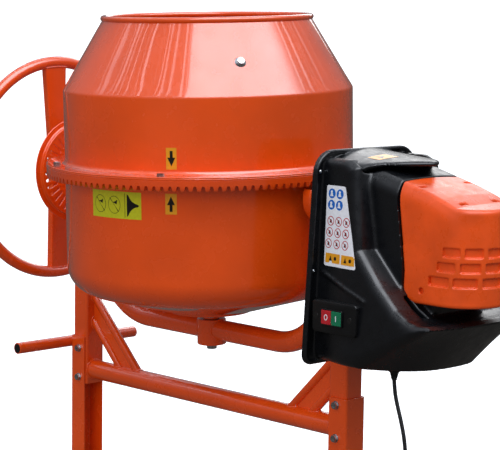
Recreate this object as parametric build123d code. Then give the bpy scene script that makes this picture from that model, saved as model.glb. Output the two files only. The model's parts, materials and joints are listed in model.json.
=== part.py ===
"""Tilting-drum concrete mixer: tubular frame, yoke, drum with crown gear, belt drive and motor housing.

Each piece is modelled about the tilt axis (X to the motor side, Y to the rear, Z up, origin midway between
the uprights) and is then moved so that the origin lies on the ground under the middle of the machine.
Sizes are millimetres.
"""
from build123d import *
import math
import os

# ---- overall ----
AXIS_HEIGHT = 990.0  # tilt axis above the ground
REST_TILT = 2.0  # degrees that the drum leans towards the operator at rest
RUN_GAP = 0.05  # radial clearance of a shaft in its bearing
FIT_GAP = 0.3  # clearance between curved pieces that only pass each other

# ---- frame ----
UPRIGHT_X = 397.0
UPRIGHT_SIDE = 47.0
UPRIGHT_WALL = 3.0
UPRIGHT_BOTTOM = -480.0
CROSS_Z = -448.5
CROSS_D = 43.0
TUBE_WALL = 3.0
BEARING_D = 64.0
BUSH_D = 52.0
LEG_WALL = 3.5
LEG_SLACK = 0.5
LEG_FLANGE = 43.0
LEFT_LEG_TOP = -373.0
RIGHT_LEG_TOP = -386.0
LEG_BOLT_Z = (-400.0, -466.0)
BOLT_D = 8.0
BOLT_HEX = 13.0
BOLT_HEAD = 5.5
WASHER_D = 17.0
WASHER_T = 1.6
HANDLE_D = 25.0
HANDLE_Z = -390.0
HANDLE_LENGTH = 340.0
BRACE_LINES = (685.0, 712.0)  # distance from the axis, along X plus Z, of each brace's middle
BRACE_RIB_D = 18.0
BRACE_RIB_GAP = 42.0
BRACE_WEB = 4.0

# ---- feet, struts and wheels ----
FOOT_BAR_LENGTH = 580.0
FOOT_BAR_D = 43.0
PAD_LENGTH = 52.0
PAD_WIDTH = 58.0
PAD_SOLE = 4.0
FOOT_STRUT_D = 22.0
FOOT_STRUT_TOP = -790.0
FOOT_STRUT_SPREAD = 200.0
WHEEL_D = 200.0
TYRE_WIDTH = 48.0
RIM_D = 124.0
WHEEL_Y = 300.0
AXLE_D = 20.0
AXLE_TUBE_D = 30.0
AXLE_LENGTH = 690.0
STRUT_SIDE = 28.0
STRUT_TOP = -500.0
STRUT_SPREAD = 225.0
PIN_D = 4.0

# ---- drum ----
DRUM_R = 300.0
DRUM_WALL = 3.0
FLANGE_R = 338.0
FLANGE_TOP = 54.0
SHEET = 3.0
SHOULDER_Z = 203.0
SHOULDER_FILLET = 14.0
RIM_Z = 348.0
RIM_R = 214.0
BEAD_R = 6.0
BOWL_CORNER_Z = -160.0
BOWL_CORNER_R = 58.0
BOWL_CORNER_SWEEP = 74.2
BOWL_BOTTOM = -259.0
FLANGE_BOLTS = 6
FLANGE_BOLT_R = 319.0
FLANGE_BOLT_START = -120.0
FLANGE_THREAD = 9.0
PADDLE_ANGLES = (-29.0, 151.0)
PADDLE_WIDTH = 70.0
PADDLE_T = 5.0

# ---- crown gear and pinion ----
GEAR_TEETH = 132
PINION_TEETH = 12
MODULE = 5.0
PRESSURE = 20.0
TOOTH_THICK = 6.6
ADDENDUM = 4.0
DEDENDUM = 6.25
GEAR_IN_R = 320.0
PINION_FACE = (321.0, 337.0)

# ---- yoke and drum spindle ----
YOKE_D = 44.0
YOKE_WALL = 4.0
YOKE_Z = -306.0
YOKE_X = 345.0
YOKE_BEND = 168.0
YOKE_ARM_TOP = -10.0
TRUNNION_D = 44.0
TRUNNION_BORE = 35.0
TRUNNION_IN = 340.5
TRUNNION_OUT = 430.0
BOSS_D = 61.0
BOSS_TOP = -284.0
BOSS_BOTTOM = -338.0
DRUM_BEARING_D = 52.0
DRUM_BEARING_W = 15.0
SPINDLE_D = 25.0
HUB_PLATE_R = 88.0
HUB_PLATE_T = 7.0
HUB_BOLTS = 4
HUB_BOLT_R = 58.0
GUARD_R = 50.0
GUARD_T = 3.0

# ---- drive ----
SHAFT_D = 17.0
SHAFT_BEARING_W = 10.0
PULLEY_R = 72.0
MOTOR_PULLEY_R = 9.0
BELT_X = 470.0
BELT_WIDTH = 12.0
BELT_T = 4.0
MOTOR_Z = -92.0
MOTOR_R = 50.0
MOTOR_X = (492.0, 640.0)
MOTOR_SHAFT_D = 12.0
FAN_R = 44.0

# ---- handwheel and locking disc ----
DISC_R = 117.0
DISC_X = -428.0
DISC_T = 3.0
DISC_RIM = 15.0
DISC_DEPTH = 12.0
SLOTS = 36
SLOT_R = (68.0, 98.0)
SLOT_WIDTH = 7.0
WHEEL_RING_R = 240.0
WHEEL_RING_D = 26.0
RING_WALL = 2.0
WHEEL_RING_X = -512.0
SPOKE_HALF = (18.0, 30.0)
SPOKE_DEPTH = 16.0
SPOKE_T = 3.0
WHEEL_HUB_D = 46.0
SHAFT_END_D = 28.0
LOCK_TRAVEL = 12.0
LOCK_PIN_D = 6.2
LOCK_PIN_R = 83.0

# ---- motor housing ----
HOUSE_X = 432.5
BACK_T = 5.0
BACK_TOP = 106.0
BACK_BOTTOM = -298.0
BACK_HALF = (140.5, 166.5)
BACK_CORNER = (48.0, 20.0)
LIP = 7.0
LIP_WIDTH = 7.0
SHELL_T = 3.0
BODY_TOP = 92.0
BODY_BOTTOM = -288.0
BODY_HALF = (120.0, 157.0)
BODY_CORNER = (48.0, 16.0)
NOSE_X = 745.0
NOSE_CORNER = 100.0
TUNNEL_HALF = 92.0
TUNNEL_BOTTOM = -176.0
SEAM_X = 620.0
CAP_NOSE_X = 775.0
CAP_BOTTOM = -152.0
CAP_CORNER = 82.0
VISOR_X = 590.0

# ---- switch ----
SWITCH_X = (452.0, 562.0)
SWITCH_Z = (-230.0, -170.0)
SWITCH_Y = -157.0
BEZEL_X = (477.0, 531.0)
BEZEL_Z = (-215.0, -184.0)
BUTTON_TRAVEL = 3.0

# ---- cord ----
CORD_D = 7.5
GLAND_AT = (600.0, -90.0)
GLAND_D = 24.0
GLAND_H = 22.0
COIL_R = 42.0
COIL_SECTION = 17.0

# The origin is on the ground under the middle of the machine's length.
LEFT_END = WHEEL_RING_X - WHEEL_RING_D / 2 - 14.0
SHIFT_X = -(LEFT_END + CAP_NOSE_X) / 2
GROUND = -AXIS_HEIGHT
FLOOR_CORD_Z = GROUND + CORD_D / 2 + 0.5


# ---- helpers ----
def block(x, y, z):
    """A box between three pairs of coordinates."""
    size = [abs(b - a) for a, b in (x, y, z)]
    return Pos((x[0] + x[1]) / 2, (y[0] + y[1]) / 2, (z[0] + z[1]) / 2) * Box(*size)


def rod_x(x0, x1, y, z, r):
    return Pos((x0 + x1) / 2, y, z) * Rot(0, 90, 0) * Cylinder(r, abs(x1 - x0))


def rod_y(y0, y1, x, z, r):
    return Pos(x, (y0 + y1) / 2, z) * Rot(90, 0, 0) * Cylinder(r, abs(y1 - y0))


def rod_z(z0, z1, x, y, r):
    return Pos(x, y, (z0 + z1) / 2) * Cylinder(r, abs(z1 - z0))


def rod_between(start, end, r):
    """A round bar from one point to another."""
    line = Vector(*end) - Vector(*start)
    plane = Plane(origin=start, z_dir=line)
    return extrude(plane * Circle(r), line.length)


def turned(*points):
    """A solid of revolution about Z from an outline of radius and height."""
    return revolve(Plane.XZ * make_face(Polyline(*points, close=True)), Axis.Z)


def prism_x(points, x0, x1):
    """A prism along X from an outline of Y and Z."""
    face = Plane.YZ.offset(x0) * make_face(Polyline(*points, close=True))
    return extrude(face, x1 - x0)


def prism_y(points, half):
    """A prism along Y, centred, from an outline of X and Z."""
    face = Plane.XZ * make_face(Polyline(*points, close=True))
    return extrude(face, half, both=True)


def hex_y(y0, y1, x, z, flats):
    hexagon = RegularPolygon(flats / 2, 6, major_radius=False)
    return extrude(Plane(origin=(x, y0, z), z_dir=(0, 1, 0)) * hexagon, y1 - y0)


def hex_z(z0, z1, x, y, flats):
    hexagon = RegularPolygon(flats / 2, 6, major_radius=False)
    return extrude(Plane(origin=(x, y, z0), z_dir=(0, 0, 1)) * hexagon, z1 - z0)


def through_bolt(x, z, y0, y1):
    """A hexagon bolt along Y with its washers and nut, head in front."""
    bolt = rod_y(y0 - WASHER_T, y1 + WASHER_T + BOLT_HEAD + 3, x, z, BOLT_D / 2)
    bolt += rod_y(y0 - WASHER_T, y0, x, z, WASHER_D / 2)
    bolt += rod_y(y1, y1 + WASHER_T, x, z, WASHER_D / 2)
    bolt += hex_y(y0 - WASHER_T - BOLT_HEAD, y0 - WASHER_T, x, z, BOLT_HEX)
    bolt += hex_y(y1 + WASHER_T, y1 + WASHER_T + BOLT_HEAD, x, z, BOLT_HEX)
    return bolt


def mirrored(solid):
    """The piece and its mirror image on the other side of the machine's middle plane."""
    return [solid, mirror(solid, Plane.XZ)]


# ---- frame ----
def upright(side):
    x = side * UPRIGHT_X
    half = UPRIGHT_SIDE / 2
    inner = half - UPRIGHT_WALL
    tube = block((x - half, x + half), (-half, half), (UPRIGHT_BOTTOM, 0))
    tube -= block((x - inner, x + inner), (-inner, inner), (UPRIGHT_BOTTOM - 1, 1))
    tube -= rod_x(x - half - 1, x + half + 1, 0, 0, BEARING_D / 2)
    for z in LEG_BOLT_Z:
        tube -= rod_y(-half - 1, half + 1, x, z, BOLT_D / 2)
    return tube


def bearing_housing(side):
    half = UPRIGHT_SIDE / 2
    x = side * UPRIGHT_X
    return rod_x(x - half, x + half, 0, 0, BEARING_D / 2) - rod_x(x - half, x + half, 0, 0, BUSH_D / 2)


def tilt_bush(side):
    half = UPRIGHT_SIDE / 2
    x = side * UPRIGHT_X
    bore = TRUNNION_D / 2 + RUN_GAP
    return rod_x(x - half, x + half, 0, 0, BUSH_D / 2) - rod_x(x - half, x + half, 0, 0, bore)


def cross_tube():
    end = UPRIGHT_X - UPRIGHT_SIDE / 2
    outer = rod_x(-end, end, 0, CROSS_Z, CROSS_D / 2)
    return outer - rod_x(-end, end, 0, CROSS_Z, CROSS_D / 2 - TUBE_WALL)


def brace(side, middle):
    """A pressed brace with two rounded ribs, from the upright down to the cross tube at 45 degrees."""
    reach = BRACE_RIB_GAP / 2
    rib = BRACE_RIB_D / 2
    centre = Vector(-middle / 2, 0, -middle / 2)
    plane = Plane(origin=centre, x_dir=(1, 0, 1), z_dir=(1, 0, -1))
    section = Rectangle(BRACE_RIB_GAP, BRACE_WEB)
    section += Pos(reach, 0) * Circle(rib)
    section += Pos(-reach, 0) * Circle(rib)
    bar = extrude(plane * section, 400, both=True)
    face = UPRIGHT_X - UPRIGHT_SIDE / 2
    bar &= block((-face, 0), (-40, 40), (CROSS_Z, 0))
    bar -= rod_x(-face - 1, 1, 0, CROSS_Z, CROSS_D / 2)
    return bar if side < 0 else mirror(bar, Plane.YZ)


def leg(side, top, bottom):
    """A channel that wraps the upright from outside and opens towards the drum."""
    x = side * UPRIGHT_X
    inner = UPRIGHT_SIDE / 2 + LEG_SLACK
    outer = inner + LEG_WALL
    web = x + side * outer
    tip = web - side * (LEG_FLANGE + LEG_WALL)
    channel = block(sorted((web, tip)), (-outer, outer), (bottom, top))
    channel -= block(sorted((x + side * inner, tip - side)), (-inner, inner), (bottom - 1, top + 1))
    for z in LEG_BOLT_Z:
        channel -= rod_y(-outer - 1, outer + 1, x, z, BOLT_D / 2)
    return channel


FOOT_BAR_Z = GROUND + PAD_SOLE + FOOT_BAR_D / 2
AXLE_Z = GROUND + WHEEL_D / 2
AXLE_X = UPRIGHT_X + 4.0
LEG_OUTER = UPRIGHT_SIDE / 2 + LEG_SLACK + LEG_WALL


def left_leg():
    bar = rod_y(-100, 100, -UPRIGHT_X, FOOT_BAR_Z, FOOT_BAR_D / 2)
    return leg(-1, LEFT_LEG_TOP, FOOT_BAR_Z) - bar


def right_leg():
    return leg(1, RIGHT_LEG_TOP, AXLE_Z) - rod_y(-100, 100, AXLE_X, AXLE_Z, AXLE_TUBE_D / 2)


def leg_bolts():
    bolts = []
    for x in (-UPRIGHT_X, UPRIGHT_X):
        for z in LEG_BOLT_Z:
            bolts.append(through_bolt(x, z, -LEG_OUTER, LEG_OUTER))
    return bolts


def foot_bar():
    half = FOOT_BAR_LENGTH / 2
    outer = rod_y(-half, half, -UPRIGHT_X, FOOT_BAR_Z, FOOT_BAR_D / 2)
    return outer - rod_y(-half, half, -UPRIGHT_X, FOOT_BAR_Z, FOOT_BAR_D / 2 - TUBE_WALL)


def foot_pads():
    """Moulded end caps with a flat sole, one on each end of the foot bar."""
    end = FOOT_BAR_LENGTH / 2 + PAD_SOLE
    x = -UPRIGHT_X
    half = PAD_WIDTH / 2
    pad = block((x - half, x + half), (-end, PAD_LENGTH - end), (GROUND, FOOT_BAR_Z))
    pad += rod_y(-end, PAD_LENGTH - end, x, FOOT_BAR_Z, half)
    pad &= block((x - half, x + half), (-end, PAD_LENGTH - end), (GROUND, FOOT_BAR_Z + half))
    pad -= rod_y(-FOOT_BAR_LENGTH / 2, 0, x, FOOT_BAR_Z, FOOT_BAR_D / 2)
    return mirrored(pad)


def foot_struts():
    """Round stays from the left leg to the foot bar."""
    start = (-UPRIGHT_X, 0, FOOT_STRUT_TOP + LEG_OUTER)
    end = (-UPRIGHT_X, -FOOT_STRUT_SPREAD, FOOT_BAR_Z)
    strut = rod_between(start, end, FOOT_STRUT_D / 2)
    strut &= block((-UPRIGHT_X - 50, -UPRIGHT_X + 50), (-400, -LEG_OUTER), (FOOT_BAR_Z, 0))
    strut -= rod_y(-400, 0, -UPRIGHT_X, FOOT_BAR_Z, FOOT_BAR_D / 2)
    return mirrored(strut)


def handle_bar():
    x = -UPRIGHT_X - LEG_OUTER - HANDLE_D / 2
    half = HANDLE_LENGTH / 2
    bar = rod_y(-half, half, x, HANDLE_Z, HANDLE_D / 2)
    return bar - rod_y(-half, half, x, HANDLE_Z, HANDLE_D / 2 - TUBE_WALL)


def wheel_struts():
    """Square stays from the right leg to the axle tube, one to each wheel."""
    start = Vector(AXLE_X, 0, STRUT_TOP + LEG_OUTER)
    end = Vector(AXLE_X, -STRUT_SPREAD, AXLE_Z)
    plane = Plane(origin=start, x_dir=(1, 0, 0), z_dir=end - start)
    strut = extrude(plane * Rectangle(STRUT_SIDE, STRUT_SIDE), (end - start).length)
    strut &= block((AXLE_X - 50, AXLE_X + 50), (-400, -LEG_OUTER), (AXLE_Z, 0))
    strut -= rod_y(-400, 0, AXLE_X, AXLE_Z, AXLE_TUBE_D / 2)
    return mirrored(strut)


def axle_tube():
    half = WHEEL_Y - TYRE_WIDTH / 2 - 8
    outer = rod_y(-half, half, AXLE_X, AXLE_Z, AXLE_TUBE_D / 2)
    return outer - rod_y(-half, half, AXLE_X, AXLE_Z, AXLE_D / 2)


def axle():
    half = AXLE_LENGTH / 2
    rod = rod_y(-half, half, AXLE_X, AXLE_Z, AXLE_D / 2)
    for y in (-half + 8, half - 8):
        rod -= rod_z(AXLE_Z - AXLE_D, AXLE_Z + AXLE_D, AXLE_X, y, PIN_D / 2)
    return rod


def axle_pins():
    """Cross pins that keep the wheels on the axle."""
    y = AXLE_LENGTH / 2 - 8
    return mirrored(rod_z(AXLE_Z - AXLE_D / 2 - 6, AXLE_Z + AXLE_D / 2 + 6, AXLE_X, y, PIN_D / 2))


def tyre(side):
    r, rim, half = WHEEL_D / 2, RIM_D / 2, TYRE_WIDTH / 2
    outline = [(rim, -half + 4), (r - 16, -half), (r - 3, -half + 10), (r, -half + 18)]
    outline += [(a, -b) for a, b in reversed(outline)]
    return Pos(AXLE_X, side * WHEEL_Y, AXLE_Z) * Rot(90, 0, 0) * turned(*outline)


def wheel_rim(side):
    """A moulded wheel centre: hub, dished web with five holes and a rim under the tyre."""
    r, half, bore = RIM_D / 2, TYRE_WIDTH / 2 - 4, AXLE_D / 2 + RUN_GAP
    hub = TYRE_WIDTH / 2 + 4
    outline = [(bore, -hub), (17, -hub), (19, -5), (r - 7, -5), (r - 7, -half), (r, -half)]
    outline += [(a, -b) for a, b in reversed(outline)]
    rim = turned(*outline)
    for k in range(5):
        a = math.radians(72 * k)
        rim -= rod_z(-10, 10, 37 * math.cos(a), 37 * math.sin(a), 9)
    return Pos(AXLE_X, side * WHEEL_Y, AXLE_Z) * Rot(90, 0, 0) * rim


# ---- locking disc and handwheel ----
def locking_disc():
    """A shallow pan with radial slots, fixed to the left bearing housing."""
    inner = DISC_R - DISC_RIM
    back = DISC_X - DISC_DEPTH
    face = UPRIGHT_X + UPRIGHT_SIDE / 2
    disc = rod_x(DISC_X, DISC_X - DISC_T, 0, 0, inner + DISC_T)
    disc += rod_x(DISC_X, back, 0, 0, inner + DISC_T) - rod_x(DISC_X, back, 0, 0, inner)
    disc += rod_x(back + DISC_T, back, 0, 0, DISC_R) - rod_x(DISC_X, back, 0, 0, inner)
    disc += rod_x(-face, DISC_X, 0, 0, BEARING_D / 2)
    disc -= rod_x(-face, back, 0, 0, TRUNNION_D / 2 + FIT_GAP)
    middle = (SLOT_R[0] + SLOT_R[1]) / 2
    slot = Plane.YZ * Pos(middle, 0) * SlotOverall(SLOT_R[1] - SLOT_R[0], SLOT_WIDTH)
    cutter = Pos(DISC_X - DISC_T - 1, 0, 0) * extrude(slot, DISC_T + 2)
    cutters = [Rot(REST_TILT + 360 / SLOTS * k, 0, 0) * cutter for k in range(SLOTS)]
    return disc - cutters


def handwheel_ring():
    """A rolled tube closed into a ring."""
    turn = Pos(WHEEL_RING_X, 0, 0) * Rot(0, 90, 0)
    return turn * (Torus(WHEEL_RING_R, WHEEL_RING_D / 2) - Torus(WHEEL_RING_R, WHEEL_RING_D / 2 - RING_WALL))


def handwheel_spoke():
    """A folded channel across the ring, with the hub that slides on the shaft and the lock pin."""
    near, far = SPOKE_HALF
    end = WHEEL_RING_R
    outline = [(-far, -end), (far, -end), (near, 0), (far, end), (-far, end), (-near, 0)]
    inner = [(y - math.copysign(SPOKE_T, y), z) for y, z in outline]
    front = WHEEL_RING_X + SPOKE_DEPTH / 2
    spoke = prism_x(outline, front - SPOKE_DEPTH, front)
    spoke -= prism_x(inner, front - SPOKE_DEPTH - 1, front - SPOKE_T)
    spoke -= Pos(WHEEL_RING_X, 0, 0) * Rot(0, 90, 0) * Torus(WHEEL_RING_R, WHEEL_RING_D / 2)
    spoke &= rod_x(front - SPOKE_DEPTH, front, 0, 0, WHEEL_RING_R)
    spoke += rod_x(WHEEL_RING_X - 12, DISC_X - DISC_DEPTH - LOCK_TRAVEL - 4, 0, 0, WHEEL_HUB_D / 2)
    tip = DISC_X - DISC_T - 1.5
    spoke += rod_x(front - SPOKE_T, tip, 0, LOCK_PIN_R, LOCK_PIN_D / 2)
    return spoke - rod_x(WHEEL_RING_X - 40, 0, 0, 0, SHAFT_END_D / 2 + RUN_GAP)


def lock_spring():
    """The coil spring between the handwheel hub and the shaft's end plate."""
    start = WHEEL_RING_X - 12
    outer = rod_x(start, start - 10, 0, 0, SHAFT_END_D / 2 + 5)
    return outer - rod_x(start, start - 10, 0, 0, SHAFT_END_D / 2 + 1.0)


# ---- yoke ----
def yoke_tube():
    """One bent tube under the drum, its arms coped round the two trunnions."""
    corner_z = YOKE_Z
    path = FilletPolyline(
        (-YOKE_X, 0, YOKE_ARM_TOP),
        (-YOKE_X, 0, corner_z),
        (YOKE_X, 0, corner_z),
        (YOKE_X, 0, YOKE_ARM_TOP),
        radius=YOKE_BEND,
    )
    section = Circle(YOKE_D / 2) - Circle(YOKE_D / 2 - YOKE_WALL)
    start = Plane(origin=(-YOKE_X, 0, YOKE_ARM_TOP), z_dir=(0, 0, -1))
    tube = sweep(start * section, path)
    for side in (-1, 1):
        tube -= rod_x(side * (TRUNNION_IN - 30), side * (YOKE_X + 40), 0, 0, TRUNNION_D / 2)
    tube -= rod_x(TRUNNION_IN - 30, TRUNNION_IN, 0, 0, GUARD_R)
    return tube - rod_z(BOSS_BOTTOM, BOSS_TOP + 10, 0, 0, BOSS_D / 2)


def yoke_boss():
    boss = rod_z(BOSS_BOTTOM, BOSS_TOP, 0, 0, BOSS_D / 2)
    boss -= rod_z(BOSS_BOTTOM, BOSS_TOP, 0, 0, DRUM_BEARING_D / 2 - 4)
    for z in (BOSS_BOTTOM, BOSS_TOP - DRUM_BEARING_W):
        boss -= rod_z(z, z + DRUM_BEARING_W, 0, 0, DRUM_BEARING_D / 2)
    return boss


def drum_bearings():
    rings = []
    for z in (BOSS_BOTTOM, BOSS_TOP - DRUM_BEARING_W):
        ring = rod_z(z, z + DRUM_BEARING_W, 0, 0, DRUM_BEARING_D / 2)
        rings.append(ring - rod_z(z, z + DRUM_BEARING_W, 0, 0, SPINDLE_D / 2 + RUN_GAP))
    return rings


def right_trunnion():
    """A hollow stub that carries the yoke's right arm and holds the drive shaft's bearings."""
    tube = rod_x(TRUNNION_IN, TRUNNION_OUT, 0, 0, TRUNNION_D / 2)
    tube -= rod_x(TRUNNION_IN, TRUNNION_OUT, 0, 0, TRUNNION_BORE / 2 - 3)
    for x in (TRUNNION_IN, TRUNNION_OUT - SHAFT_BEARING_W):
        tube -= rod_x(x, x + SHAFT_BEARING_W, 0, 0, TRUNNION_BORE / 2)
    return tube


def left_trunnion():
    """A solid stub whose slimmer end carries the sliding handwheel and ends in a plate."""
    shoulder = -UPRIGHT_X - UPRIGHT_SIDE / 2
    stub = rod_x(-TRUNNION_IN, shoulder, 0, 0, TRUNNION_D / 2)
    stub += rod_x(shoulder, LEFT_END + 4, 0, 0, SHAFT_END_D / 2)
    return stub + rod_x(LEFT_END + 4, LEFT_END, 0, 0, SHAFT_END_D / 2 + 6)


def shaft_bearings():
    rings = []
    for x in (TRUNNION_IN, TRUNNION_OUT - SHAFT_BEARING_W):
        ring = rod_x(x, x + SHAFT_BEARING_W, 0, 0, TRUNNION_BORE / 2)
        rings.append(ring - rod_x(x, x + SHAFT_BEARING_W, 0, 0, SHAFT_D / 2 + RUN_GAP))
    return rings


def pinion_guard():
    """A half cup round the pinion, open at the top where the crown gear passes."""
    start = PINION_FACE[0] - 2
    end = TRUNNION_IN
    cup = rod_x(start, end, 0, 0, GUARD_R) - rod_x(start - 1, end - GUARD_T, 0, 0, GUARD_R - GUARD_T)
    cup &= block((start, end), (-GUARD_R, GUARD_R), (-GUARD_R, MODULE * PINION_TEETH / 2 - 10))
    return cup - rod_x(start, end + 1, 0, 0, SHAFT_D / 2 + 2)


# ---- drum ----
def bowl_solid(inset):
    """The lower drum filled to its axis: cylinder, rounded corner, shallow cone and flat bottom."""
    sweep_angle = math.radians(BOWL_CORNER_SWEEP)
    centre_r = DRUM_R - BOWL_CORNER_R
    corner = BOWL_CORNER_R - inset
    end_r = centre_r + corner * math.cos(sweep_angle)
    end_z = BOWL_CORNER_Z - corner * math.sin(sweep_angle)
    middle = (centre_r + corner * math.cos(sweep_angle / 2), BOWL_CORNER_Z - corner * math.sin(sweep_angle / 2))
    bottom = BOWL_BOTTOM + inset
    flat_r = end_r - (end_z - bottom) * math.tan(sweep_angle)
    top = FLANGE_TOP - SHEET
    outline = [
        Line((0, top), (DRUM_R - inset, top)),
        Line((DRUM_R - inset, top), (DRUM_R - inset, BOWL_CORNER_Z)),
        ThreePointArc((DRUM_R - inset, BOWL_CORNER_Z), middle, (end_r, end_z)),
        Line((end_r, end_z), (flat_r, bottom)),
        Line((flat_r, bottom), (0, bottom)),
        Line((0, bottom), (0, top)),
    ]
    return revolve(Plane.XZ * make_face(outline), Axis.Z)


def flange(z0, z1):
    ring = rod_z(z0, z1, 0, 0, FLANGE_R) - rod_z(z0, z1, 0, 0, DRUM_R - DRUM_WALL)
    return ring - bolt_circle(z0 - 1, z1 + 1, BOLT_D / 2)


def bolt_circle(z0, z1, r):
    """Bars on the flange's bolt circle, as cutters or shanks."""
    bars = []
    for k in range(FLANGE_BOLTS):
        a = math.radians(FLANGE_BOLT_START + 360 / FLANGE_BOLTS * k)
        bars.append(rod_z(z0, z1, FLANGE_BOLT_R * math.cos(a), FLANGE_BOLT_R * math.sin(a), r))
    return bars


def drum_lower():
    bowl = bowl_solid(0) - bowl_solid(DRUM_WALL)
    bowl -= block((-DRUM_R, DRUM_R), (-DRUM_R, DRUM_R), (FLANGE_TOP - SHEET - 2 * SHEET, FLANGE_TOP)) & rod_z(
        FLANGE_TOP - 3 * SHEET, FLANGE_TOP, 0, 0, DRUM_R - DRUM_WALL
    )
    bowl += flange(FLANGE_TOP - 2 * SHEET, FLANGE_TOP - SHEET)
    for k in range(HUB_BOLTS):
        a = math.radians(45 + 360 / HUB_BOLTS * k)
        x, y = HUB_BOLT_R * math.cos(a), HUB_BOLT_R * math.sin(a)
        bowl -= rod_z(BOWL_BOTTOM - 1, BOWL_BOTTOM + DRUM_WALL + 1, x, y, BOLT_D / 2)
    return bowl


def cone_solid(inset):
    """The upper drum filled to its axis."""
    r = DRUM_R - inset
    slope = math.atan2(RIM_Z - SHOULDER_Z, DRUM_R - RIM_R)
    shoulder = SHOULDER_Z - inset * math.tan((math.pi / 2 - slope) / 2)
    rim = RIM_R - inset / math.sin(slope)
    base = FLANGE_TOP - SHEET
    solid = turned((0, base), (r, base), (r, shoulder), (rim, RIM_Z), (0, RIM_Z))
    edge = solid.edges().filter_by(GeomType.CIRCLE).sort_by(lambda e: abs(e.center().Z - shoulder))[0]
    return fillet(edge, SHOULDER_FILLET - inset)


def drum_upper():
    cone = cone_solid(0) - cone_solid(DRUM_WALL)
    cone += flange(FLANGE_TOP - SHEET, FLANGE_TOP)
    cone += Pos(0, 0, RIM_Z) * Torus(RIM_R, BEAD_R)
    for angle in PADDLE_ANGLES:
        cone -= paddle_bolt(angle, BOLT_D / 2)
    return cone


def ring_gear():
    """A crown gear: a flat ring with teeth on its lower face, which the pinion meets from below."""
    pitch_z = MODULE * PINION_TEETH / 2
    root = pitch_z + DEDENDUM
    tip = pitch_z - ADDENDUM
    lean = math.tan(math.radians(PRESSURE))
    half_root = TOOTH_THICK / 2 + DEDENDUM * lean
    half_tip = TOOTH_THICK / 2 - ADDENDUM * lean
    top = FLANGE_TOP - 2 * SHEET
    band = rod_z(root, top, 0, 0, FLANGE_R) - rod_z(root, top, 0, 0, DRUM_R + FIT_GAP)
    outline = [(-half_tip, tip), (half_tip, tip), (half_root, root + 1), (-half_root, root + 1)]
    tooth = prism_x(outline, GEAR_IN_R, FLANGE_R - 0.3)
    teeth = [Rot(0, 0, 360 / GEAR_TEETH * k) * tooth for k in range(GEAR_TEETH)]
    return (band + teeth) - bolt_circle(top - FLANGE_THREAD, top + 1, BOLT_D / 2)


def flange_bolts():
    """Bolts down through both flanges into the tapped gear ring."""
    bolts = []
    tapped = FLANGE_TOP - 2 * SHEET - FLANGE_THREAD
    for k in range(FLANGE_BOLTS):
        a = math.radians(FLANGE_BOLT_START + 360 / FLANGE_BOLTS * k)
        x, y = FLANGE_BOLT_R * math.cos(a), FLANGE_BOLT_R * math.sin(a)
        bolt = rod_z(tapped, FLANGE_TOP, x, y, BOLT_D / 2)
        bolt += hex_z(FLANGE_TOP, FLANGE_TOP + BOLT_HEAD, x, y, BOLT_HEX)
        bolts.append(bolt)
    return bolts


CONE_SLOPE = math.atan2(RIM_Z - SHOULDER_Z, DRUM_R - RIM_R)
PADDLE_BOLT_Z = 268.0


def cone_point(z):
    """Radius of the cone's outer face at a height."""
    return DRUM_R - (z - SHOULDER_Z) / math.tan(CONE_SLOPE)


def paddle_bolt(angle, r, start=-14.0, end=3.0):
    """A bar square to the cone's wall at the paddle's fixing."""
    foot = cone_point(PADDLE_BOLT_Z)
    nx, nz = math.sin(CONE_SLOPE), math.cos(CONE_SLOPE)
    a = (foot + start * nx, 0, PADDLE_BOLT_Z + start * nz)
    b = (foot + end * nx, 0, PADDLE_BOLT_Z + end * nz)
    return Rot(0, 0, angle) * rod_between(a, b, r)


def mixing_paddle(angle):
    """A bent blade: a foot on the cone's wall, a flat bar down the drum and a foot on the bowl's bottom."""
    gap = DRUM_WALL / math.sin(CONE_SLOPE) + 0.4
    inner = PADDLE_T / math.sin(CONE_SLOPE)
    top_z, knee_z = PADDLE_BOLT_Z + 22, PADDLE_BOLT_Z - 34
    top = cone_point(top_z) - gap
    knee = cone_point(knee_z) - gap
    bar_r = 205.0
    low_z = BOWL_BOTTOM + 62
    outline = [
        (top, top_z),
        (knee, knee_z),
        (bar_r, knee_z - 60),
        (bar_r, low_z + 40),
        (150, low_z - 6),
        (150 - inner, low_z - 1),
        (bar_r - PADDLE_T, low_z + 43),
        (bar_r - PADDLE_T, knee_z - 58),
        (knee - inner, knee_z),
        (top - inner, top_z),
    ]
    blade = prism_y(outline, PADDLE_WIDTH / 2)
    foot = block((0, DRUM_R), (-PADDLE_WIDTH, PADDLE_WIDTH), (SHOULDER_Z, RIM_Z))
    blade -= foot - cone_solid(DRUM_WALL + FIT_GAP)
    return Rot(0, 0, angle) * blade - paddle_bolt(angle, BOLT_D / 2)


def mixing_paddles():
    return [mixing_paddle(angle) for angle in PADDLE_ANGLES]


def paddle_bolts():
    """Bolts through the cone's wall, with dished washers outside and nuts inside the blade's foot."""
    bolts = []
    inner = DRUM_WALL + PADDLE_T + 0.4 * math.sin(CONE_SLOPE)
    for angle in PADDLE_ANGLES:
        bolt = paddle_bolt(angle, BOLT_D / 2, -inner - BOLT_HEAD, 0)
        bolt += paddle_bolt(angle, WASHER_D / 2 + 2, 0.0, 2.0)
        bolt += paddle_bolt(angle, BOLT_HEX / 2, 2.0, 2.0 + BOLT_HEAD)
        bolt += paddle_bolt(angle, BOLT_HEX / 2, -inner - BOLT_HEAD, -inner)
        bolts.append(bolt)
    return bolts


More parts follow.
